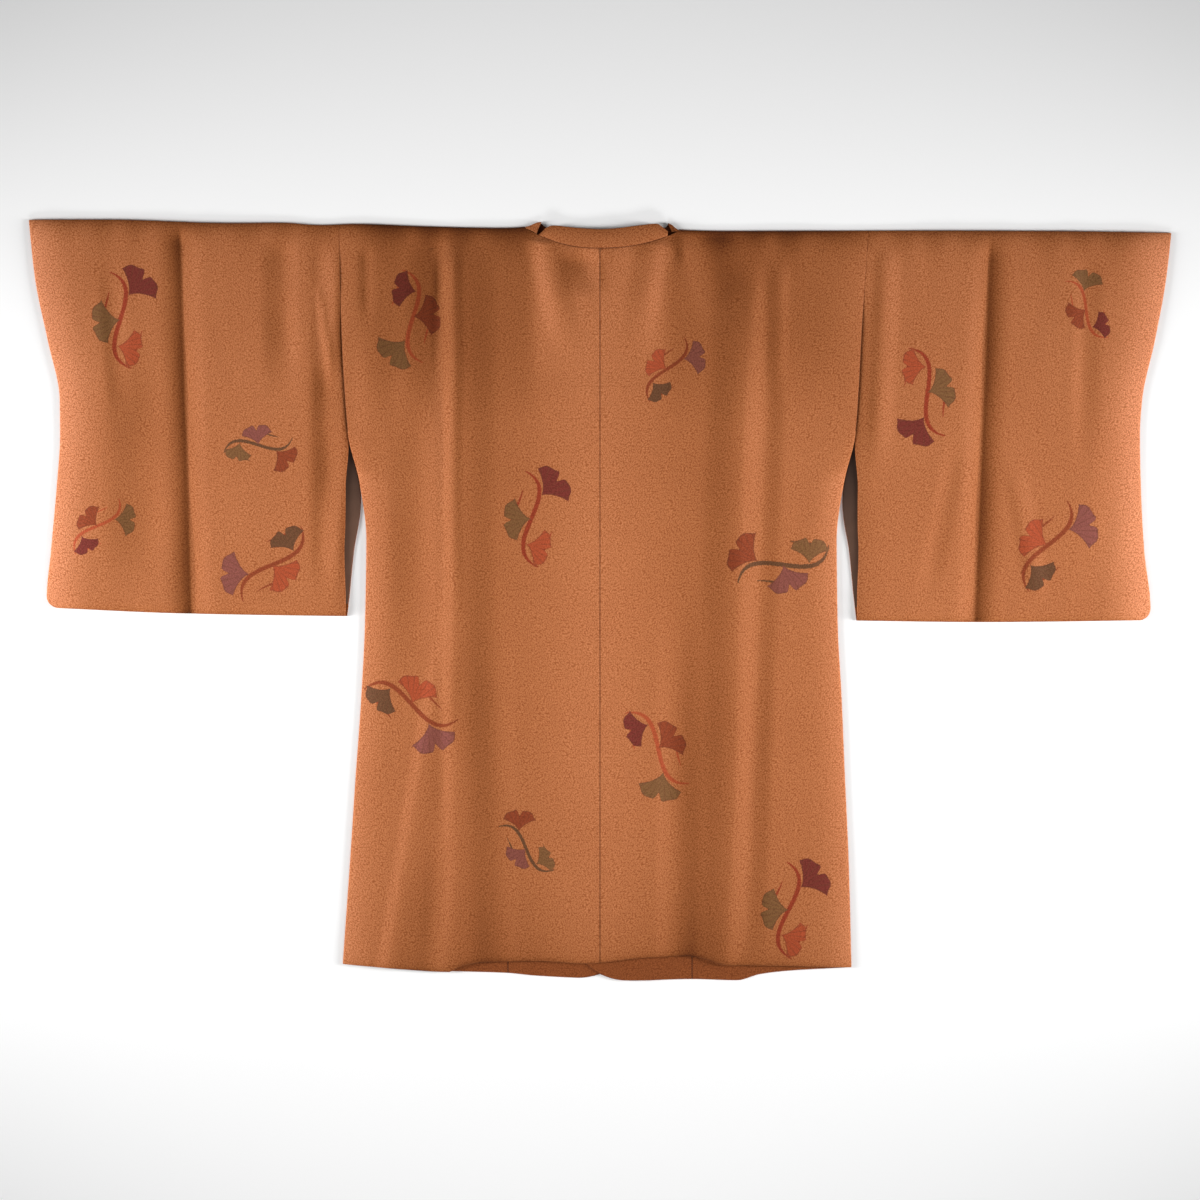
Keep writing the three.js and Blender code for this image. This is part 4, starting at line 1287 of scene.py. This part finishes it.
@dataclass
class Sleeve:
    """The sleeves, each one length folded over the shoulder line."""

    step: float = 4.6
    front_step: float = 8.8
    crease_step: float = 0.0038  # as a share of the width
    width: float = 345.0
    middle_x: float = 450.0
    # painted highlight along the cuff
    painted_rim_light: tuple[float, float] = (0.56, 36)  # how much lighter the cuff is, and how far in
    flat: tuple[float, float] = (0.36, 0.90)
    crease: dict[Side, tuple[float, float]] = field(
        default_factory=lambda: {Side.LEFT: (0.495, 0.575), Side.RIGHT: (0.395, 0.475)}
    )

    def build(self, half: Half, outside: bpy.types.Material, inside: bpy.types.Material) -> bpy.types.Object:
        """Builds one sleeve.

        Args:
            half: the half of the coat.
            outside: the crepe's outer side.
            inside: its inner side.

        Returns:
            The piece.
        """
        start, end = self.crease[half.side]  # closer columns along the middle crease
        even = edge_stations(self.width, self.step)
        close = np.arange(start, end, self.crease_step)
        shares = np.sort(np.concatenate([even[(even < start) | (even > end)], close]))
        middle_x = np.array(half.sign * self.middle_x)
        foot_y = float(SLEEVE_FOOT(middle_x))
        top_y = float(SHOULDER_LINE(middle_x)) - 1.5 * WALL
        near = np.array([*RIM_STEPS, 5.0, 7.5, 10.5, SLEEVE_CORNER])
        back_y = np.concatenate([foot_y + near, np.arange(foot_y + 18, top_y - 2, self.step), [top_y]])
        even_front = np.arange(foot_y + 22, top_y - 4, self.front_step)
        front_y = np.concatenate([foot_y + near, even_front, [top_y]])

        def edges(layer: Layer, y: np.ndarray) -> tuple[np.ndarray, np.ndarray]:
            """Gives both edges of a layer at a height, the outer one with a quarter circle as corner."""
            below = np.clip(SLEEVE_CORNER - (y - foot_y), 0, SLEEVE_CORNER)
            corner = SLEEVE_CORNER - np.sqrt(SLEEVE_CORNER**2 - below**2)
            return half.sleeve_edge(layer, y), half.cuff(y) - corner

        middle, back_rows = folded_cloth(
            half, shares, back_y, front_y, edges, lambda _, x: SLEEVE_FOOT(x), SHOULDER_LINE,
            lambda x, y: Relief.sleeve(half, x, y), WALL,
        )
        half_wall = folded_half_wall(len(middle), shares, self.width)
        x, y = np.abs(middle[..., 0]), middle[..., 1]
        from_seam = x - half.body_side(y) - SEAM
        seam = np.where(y > ARMHOLE_Y, from_seam + 0.8 * (1 - seam_depth(y)), NO_SEAM)
        at = middle[..., 0], y
        # The back's tone is painted light and shade
        painted_shading = PaintedShading.tone(half, SLEEVE_FOLDS, SHOULDER_LINE, half.cuff, SLEEVE_FOOT, self.painted_rim_light, *at)
        # Painted shade: a little darker all over, and darker still beside the deep part of the armhole seam
        painted_shading -= 0.05 + 0.2 * seam_depth(y) * np.exp(-np.maximum(from_seam, 0) / 8)
        tone = np.where((np.arange(len(middle)) < back_rows)[:, None], painted_shading, 1.0)
        cloth = Cloth(middle, half_wall, half.sign < 0, np.maximum(seam, 0.0), back_rows, tone)
        piece = add_piece(f"sleeve_{half.side.word}", cloth, [outside, inside])
        return piece


def laid_cloth(x: np.ndarray, y: np.ndarray, under: np.ndarray, wall: float, seam: np.ndarray) -> Cloth:
    """Makes a single layer, whose lower face is at the heights `under`.

    Args:
        x: grid of x, with the columns from left to right or from right to left.
        y: grid of y, rising with the rows.
        under: grid of the lower face's heights.
        wall: the wall's thickness.
        seam: grid of distances from the seams.

    Returns:
        The cloth.
    """
    middle = np.stack([x, y, under + wall / 2], axis=2)
    across = np.linalg.norm(np.diff(middle, axis=1, prepend=middle[:, :1]), axis=2).cumsum(axis=1)
    along = np.linalg.norm(np.diff(middle, axis=0, prepend=middle[:1]), axis=2).cumsum(axis=0)
    from_edge = np.minimum.reduce([across, across[:, -1:] - across, along, along[-1:] - along])
    half_wall = wall / 2 * rim_taper(from_edge, wall, 0.7, 0.06)
    return Cloth(middle, half_wall, bool(x[0, -1] < x[0, 0]), np.maximum(seam, 0.0), 0)


def climb(half: Half, x: np.ndarray, wall: float) -> np.ndarray:
    """Lower face of a piece of the front, which on the right climbs onto the left one in the middle.

    Args:
        half: the half that the piece is on.
        x: distances from the middle.
        wall: the thickness of the piece below.

    Returns:
        The height at each distance.
    """
    if half.side is Side.LEFT:
        return np.zeros_like(x)
    return (wall + PLY_GAP) * smooth((BAND_STEP_HIGH - x) / (BAND_STEP_HIGH - BAND_STEP_LOW))


@dataclass
class FrontBands:
    """The bands that widen the fronts and overlap in the middle."""

    step: float = 3.4
    middle_x: float = 60.0
    rows: int = 66  # from the corner to the neckline
    left_curl: float = 0.35  # share of the hem's curl on the left band, which lies on the surface

    def build(self, half: Half, outside: bpy.types.Material, inside: bpy.types.Material) -> bpy.types.Object:
        """Builds one band. Its lower corner is a quarter circle, cut from the free edge.

        Args:
            half: the half of the coat.
            outside: the crepe's outer side.
            inside: its inner side.

        Returns:
            The piece.
        """
        height = NECK_FOOT_Y - float(FRONT_HEM(np.array(half.sign * self.middle_x)))
        low = np.array([*RIM_STEPS, 5.5, 8.5, 12, 16, 21, 27, 34, 42, 50, 60])
        even = np.linspace(BAND_CORNER, height - RIM_STEPS[-1], self.rows)
        rise = np.concatenate([low, even, height - np.array(RIM_STEPS[-2::-1])])
        below = np.clip(BAND_CORNER - rise, 0, BAND_CORNER)
        free_x = BAND_FREE_X + BAND_CORNER - np.sqrt(BAND_CORNER**2 - below**2)
        shares = edge_stations(BAND_WIDTH, self.step)
        seam_foot = float(FRONT_HEM(np.array(half.sign * BAND_SEAM_X)))
        seam_y = mix(seam_foot, NECK_FOOT_Y, rise[:, None] / height)
        seam_x = band_seam(seam_y) - SEAM
        x = mix(seam_x, free_x[:, None], shares[None, :])
        hem = FRONT_HEM(half.sign * x)
        y = mix(hem, NECK_FOOT_Y, rise[:, None] / height)
        curl = self.left_curl if half.side is Side.LEFT else 1.0
        under = climb(half, x, WALL) + hem_curl(half.sign * x, y) * curl
        # The free edge is darkened like a seam, as painted shadow along the band's edge
        free = 0.35 * (x - free_x[:, None]) + 0.1
        seam = np.minimum.reduce([seam_x - x, NECK_FOOT_Y - y, free])
        cloth = laid_cloth(half.sign * x, y, under, WALL, seam)
        # The outer side of the front lies on the surface, so the faces change places
        piece = add_piece(f"front_band_{half.side.word}", turned_over(cloth), [outside, inside])
        return piece


def turned_over(cloth: Cloth) -> Cloth:
    """Turns a cloth so that its outer face is the lower one, by running its rows the other way."""
    return Cloth(cloth.middle[::-1], cloth.half_wall[::-1], cloth.flip, cloth.seam[::-1], 0)


@dataclass
class Collar:
    """The narrow collar round the neckline, of doubled crepe."""

    back_step: float = 2.4
    step: float = 2.2
    back_height_step: float = 1.2
    foot_step: float = 4.0
    back_foot: float = 415.8
    fade: float = 8.0
    # Painted shade on the back layer of each collar side, much darker on the right
    shade: dict[Side, float] = field(default_factory=lambda: {Side.LEFT: 0.9, Side.RIGHT: 0.42})

    def build_back(self, crepe: bpy.types.Material) -> bpy.types.Object:
        """Builds the collar along the back of the neck, which stands out beyond the neck seam.

        Args:
            crepe: the crepe's outer side.

        Returns:
            The piece.
        """
        left, right = HALVES[Side.LEFT], HALVES[Side.RIGHT]
        x = mix(COLLAR_BACK_ENDS[0], COLLAR_BACK_ENDS[1], edge_stations(147, self.back_step))[None, :]
        seam_y = np.where(x < 0, left.neck_y(x), right.neck_y(x)) + SEAM * 1.5
        seam_z = np.where(x < 0, Relief.body(left, x, seam_y), Relief.body(right, x, seam_y))
        share = edge_stations(18, self.back_height_step)[:, None]
        top_y = np.maximum(COLLAR_BACK_TOP(x), seam_y + 1)
        y = mix(seam_y, top_y, share)
        bulge = 0.9 * np.sqrt(np.clip(np.sin(math.pi * np.clip(share, 0.02, 0.98)), 0, 1)) - 0.5 * share**3
        ripple = 0.25 * np.sin(x / 9.5 + 1.0) * np.sin(math.pi * share) + 0.2 * np.sin(x / 21)
        under = seam_z + 0.25 + bulge + ripple - COLLAR_WALL
        cloth = laid_cloth(x + 0 * y, y, under, COLLAR_WALL, y - seam_y)
        # Painted shade: the collar a little darker, and darker still towards its top edge
        cloth.tone = 0.86 - 0.2 * share**2 + 0 * x
        piece = add_piece("collar_back", cloth, [crepe, crepe])
        return piece

    def build_side(
        self, half: Half, crepe: bpy.types.Material, inside: bpy.types.Material
    ) -> bpy.types.Object:
        """Builds the collar down one side of the neckline, which passes over the shoulder.

        Args:
            half: the half of the coat.
            crepe: the crepe's outer side.
            inside: its inner side, which shows in the notch beside the collar's back.

        Returns:
            The piece.
        """
        front_foot = NECK_FOOT_Y + COLLAR_WIDTH + SEAM
        back_y = np.linspace(self.back_foot, half.neck_top, 9)
        front_y = np.concatenate([np.linspace(front_foot, 400, 40), np.linspace(402, half.neck_top, 14)])
        fold_width = half.neck_half - half.collar_peak

        def edges(layer: Layer, y: np.ndarray) -> tuple[np.ndarray, np.ndarray]:
            """Gives the free edge and the seam.

            Args:
                layer: the layer.
                y: heights.

            Returns:
                Their distances from the middle.
            """
            if layer is Layer.BACK:
                seam = half.neck_edge(y) - SEAM * 2
                near = np.clip((y - self.back_foot) / (half.neck_top - self.back_foot), 0, 1)
                return seam - mix(0.5, fold_width, near), seam
            seam = half.front_edge(y) - SEAM * 2
            wide = mix(COLLAR_WIDTH, fold_width + 8, smooth((y - 380) / 30))
            return seam - mix(wide, fold_width, smooth((y - half.neck_top + 4) / 4)), seam

        def foot(layer: Layer, x: np.ndarray) -> np.ndarray:
            """Gives a layer's level lower end."""
            return np.full_like(x, self.back_foot if layer is Layer.BACK else front_foot)

        def top(x: np.ndarray, y: np.ndarray) -> np.ndarray:
            """Gives the upper face, level with the body's beside the neck."""
            beside = Relief.body(half, np.full_like(x, half.sign * half.neck_half), y)
            return np.maximum(beside, COLLAR_WALL * 2 + 0.3)

        shares = edge_stations(COLLAR_WIDTH, self.step)
        middle, back_rows = folded_cloth(
            half, shares, back_y, front_y, edges, foot, SHOULDER_LINE, top, COLLAR_WALL, fade=self.fade
        )
        taper = edge_taper(shares, COLLAR_WIDTH, COLLAR_WALL)
        half_wall = np.broadcast_to(COLLAR_WALL / 2 * taper, middle.shape[:2])
        on_back = (np.arange(len(middle)) < back_rows)[:, None]
        seam = np.where(on_back, NO_SEAM, (1 - shares)[None, :] * COLLAR_WIDTH * 0.7)
        # Painted shadow: the front layer is darker where it lies deep in the notch beside the collar's back
        deep = 1 - 0.7 * smooth((middle[..., 1] - 398) / 10)
        tone = np.where(on_back, self.shade[half.side], deep)
        cloth = Cloth(middle, half_wall, half.sign < 0, seam, back_rows, tone)
        piece = add_piece(f"collar_side_{half.side.word}", cloth, [crepe, inside])
        return piece

    def build_foot(self, half: Half, crepe: bpy.types.Material) -> bpy.types.Object:
        """Builds the collar along the lower edge of the neckline, on top of one band.

        Args:
            half: the half of the coat.
            crepe: the crepe's outer side.

        Returns:
            The piece.
        """
        rise = edge_stations(COLLAR_WIDTH - SEAM, self.step)[:, None]
        seam_x = BAND_SEAM_X - SEAM * 3 - rise * (COLLAR_WIDTH - 0.6)
        x = mix(seam_x, BAND_FREE_X, edge_stations(150, self.foot_step)[None, :])
        y = NECK_FOOT_Y + SEAM + rise * (COLLAR_WIDTH - SEAM * 2) + 0 * x
        under = climb(half, x, COLLAR_WALL)
        cloth = laid_cloth(half.sign * x, y, under, COLLAR_WALL, y - NECK_FOOT_Y - SEAM)
        piece = add_piece(f"collar_foot_{half.side.word}", cloth, [crepe, crepe])
        return piece


@dataclass
class SleeveLining:
    """The lining inside the sleeves' open inner edges, on the front layer."""

    strip: tuple[float, float] = (0.034, 0.19)
    tuck: float = 12.0
    # Painted shade inside each sleeve's opening: how dark its lining is, darker on the right
    depth: dict[Side, float] = field(default_factory=lambda: {Side.LEFT: 0.85, Side.RIGHT: 0.6})
    foot_y: dict[Side, float] = field(default_factory=lambda: {Side.LEFT: -4.0, Side.RIGHT: -8.0})

    def build(self, half: Half, lining: bpy.types.Material) -> bpy.types.Object:
        """Builds one strip.

        Args:
            half: the half of the coat.
            lining: its material.

        Returns:
            The piece.
        """
        y = mix(self.foot_y[half.side], ARMHOLE_Y - 4, edge_stations(186, 3.0))[:, None]
        inner = half.sleeve_edge(Layer.FRONT, y) + 0.4
        outer = half.sleeve_edge(Layer.BACK, y) + self.tuck
        x = mix(inner, outer, edge_stations(30, 2.0)[None, :])
        y = y + 0 * x
        under = WALL + 0.08 + 0.22 * (1 + np.sin(y / 13)) * smooth((x - inner) / 8)
        cloth = laid_cloth(half.sign * x, y, under, LINING_WALL, np.full_like(x, NO_SEAM))
        # Painted shade: darker still towards the top of the opening
        cloth.tone = self.depth[half.side] * mix(0.35, 1.0, smooth((172 - y) / 130))
        piece = add_piece(f"sleeve_lining_{half.side.word}", cloth, [lining, lining])
        return piece


@dataclass(frozen=True)
class Studio:
    """The floor, the lights and the camera."""

    frame_width: float = 1.3636  # of the photograph's frame, at the height of the cloth
    lens: float = 85.0
    cloth_height: float = 0.004
    floor_half: float = 6.0
    floor_level: float = -0.0002

    def build(self) -> None:
        """Builds the whole studio."""
        self.floor()
        self.area("Left light", (-2.4, -0.1, 0.85), (0.3, 0, 0), (0.4, 1.2), 11.0, 60)
        self.area("Right light", (2.4, -0.1, 0.85), (-0.3, 0, 0), (0.4, 1.2), 11.0, 60)
        self.area("Foot light", (0, -2.7, 1.15), (0, -0.1, 0), (1.8, 0.5), 6.6, 70)
        bpy.context.scene.view_settings.view_transform = "Standard"
        self.world()
        self.camera()

    def floor(self) -> None:
        """Makes the pale floor that the coat lies on."""
        mesh = bpy.data.meshes.new("floor")
        turns = ((-1, -1), (1, -1), (1, 1), (-1, 1))
        corners = [(a * self.floor_half, b * self.floor_half, self.floor_level) for a, b in turns]
        mesh.from_pydata(corners, [], [(0, 1, 2, 3)])
        material, w, shader = new_material("Pale floor")
        looks = {"Base Color": (0.93, 0.93, 0.93, 1), "Roughness": 0.95, "Specular IOR Level": 0.1}
        w.fill(shader.inputs, looks)
        mesh.materials.append(material)
        floor = bpy.data.objects.new("floor", mesh)
        bpy.context.scene.collection.objects.link(floor)

    def area(self, name: str, place: tuple, target: tuple, size: tuple, power: float, spread: float) -> None:
        """Hangs an area light.

        Args:
            name: the light's name.
            place: where it hangs.
            target: what it shines at.
            size: its width and height.
            power: its power in watts.
            spread: the spread of its beam in degrees.
        """
        light = bpy.data.lights.new(name, "AREA")
        light.spread = math.radians(spread)
        light.shape = "RECTANGLE"
        light.size, light.size_y = size
        light.energy = power
        lamp = bpy.data.objects.new(name, light)
        lamp.location = place
        away = Vector(place) - Vector(target)
        lamp.rotation_euler = away.to_track_quat("Z", "Y").to_euler()
        bpy.context.scene.collection.objects.link(lamp)

    def world(self) -> None:
        """Sets the soft light from all round."""
        world = bpy.data.worlds.new("Studio")
        bpy.context.scene.world = world
        world.use_nodes = True
        background = world.node_tree.nodes["Background"]
        background.inputs["Color"].default_value = (1, 1, 1, 1)
        background.inputs["Strength"].default_value = 0.2

    def camera(self) -> None:
        """Sets the camera straight above the coat, so that the frame has its real width."""
        data = bpy.data.cameras.new("camera")
        data.lens = self.lens
        camera = bpy.data.objects.new("camera", data)
        distance = self.frame_width / 2 / math.tan(data.angle / 2)
        camera.location = (0, 0, distance + self.cloth_height)
        bpy.context.scene.collection.objects.link(camera)
        bpy.context.scene.camera = camera


def main() -> None:
    """Builds the coat and the studio, in order."""
    logging.basicConfig(level=logging.INFO, format="%(name)s %(message)s")
    grain, spray = crepe_grain(), GinkgoWeave.build()
    outside = Crepe(
        "Crepe", srgb(144, 78, 41), srgb(175, 105, 63), srgb(200, 130, 87), srgb(88, 42, 18), True
    ).material(grain, spray)
    # The inside's darker colours are partly the crepe's reverse side, partly painted shade under the back
    inside = Crepe(
        "Crepe inside", srgb(106, 52, 22), srgb(128, 67, 31), srgb(148, 84, 44), srgb(66, 28, 12), False
    ).material(grain, spray)
    lining = Lining().material()
    collar = Collar()
    pieces = []
    for half in HALVES.values():
        pieces += [
            Body().build(half, outside, inside),
            Sleeve().build(half, outside, inside),
            FrontBands().build(half, outside, inside),
            collar.build_side(half, outside, inside),
            collar.build_foot(half, outside),
            SleeveLining().build(half, lining),
        ]
    pieces.append(collar.build_back(outside))
    for piece in pieces:
        log.info("%s: %d faces", piece.name, len(piece.data.polygons))
    Studio().build()
    bpy.context.view_layer.update()


if __name__ == "__main__":
    main()
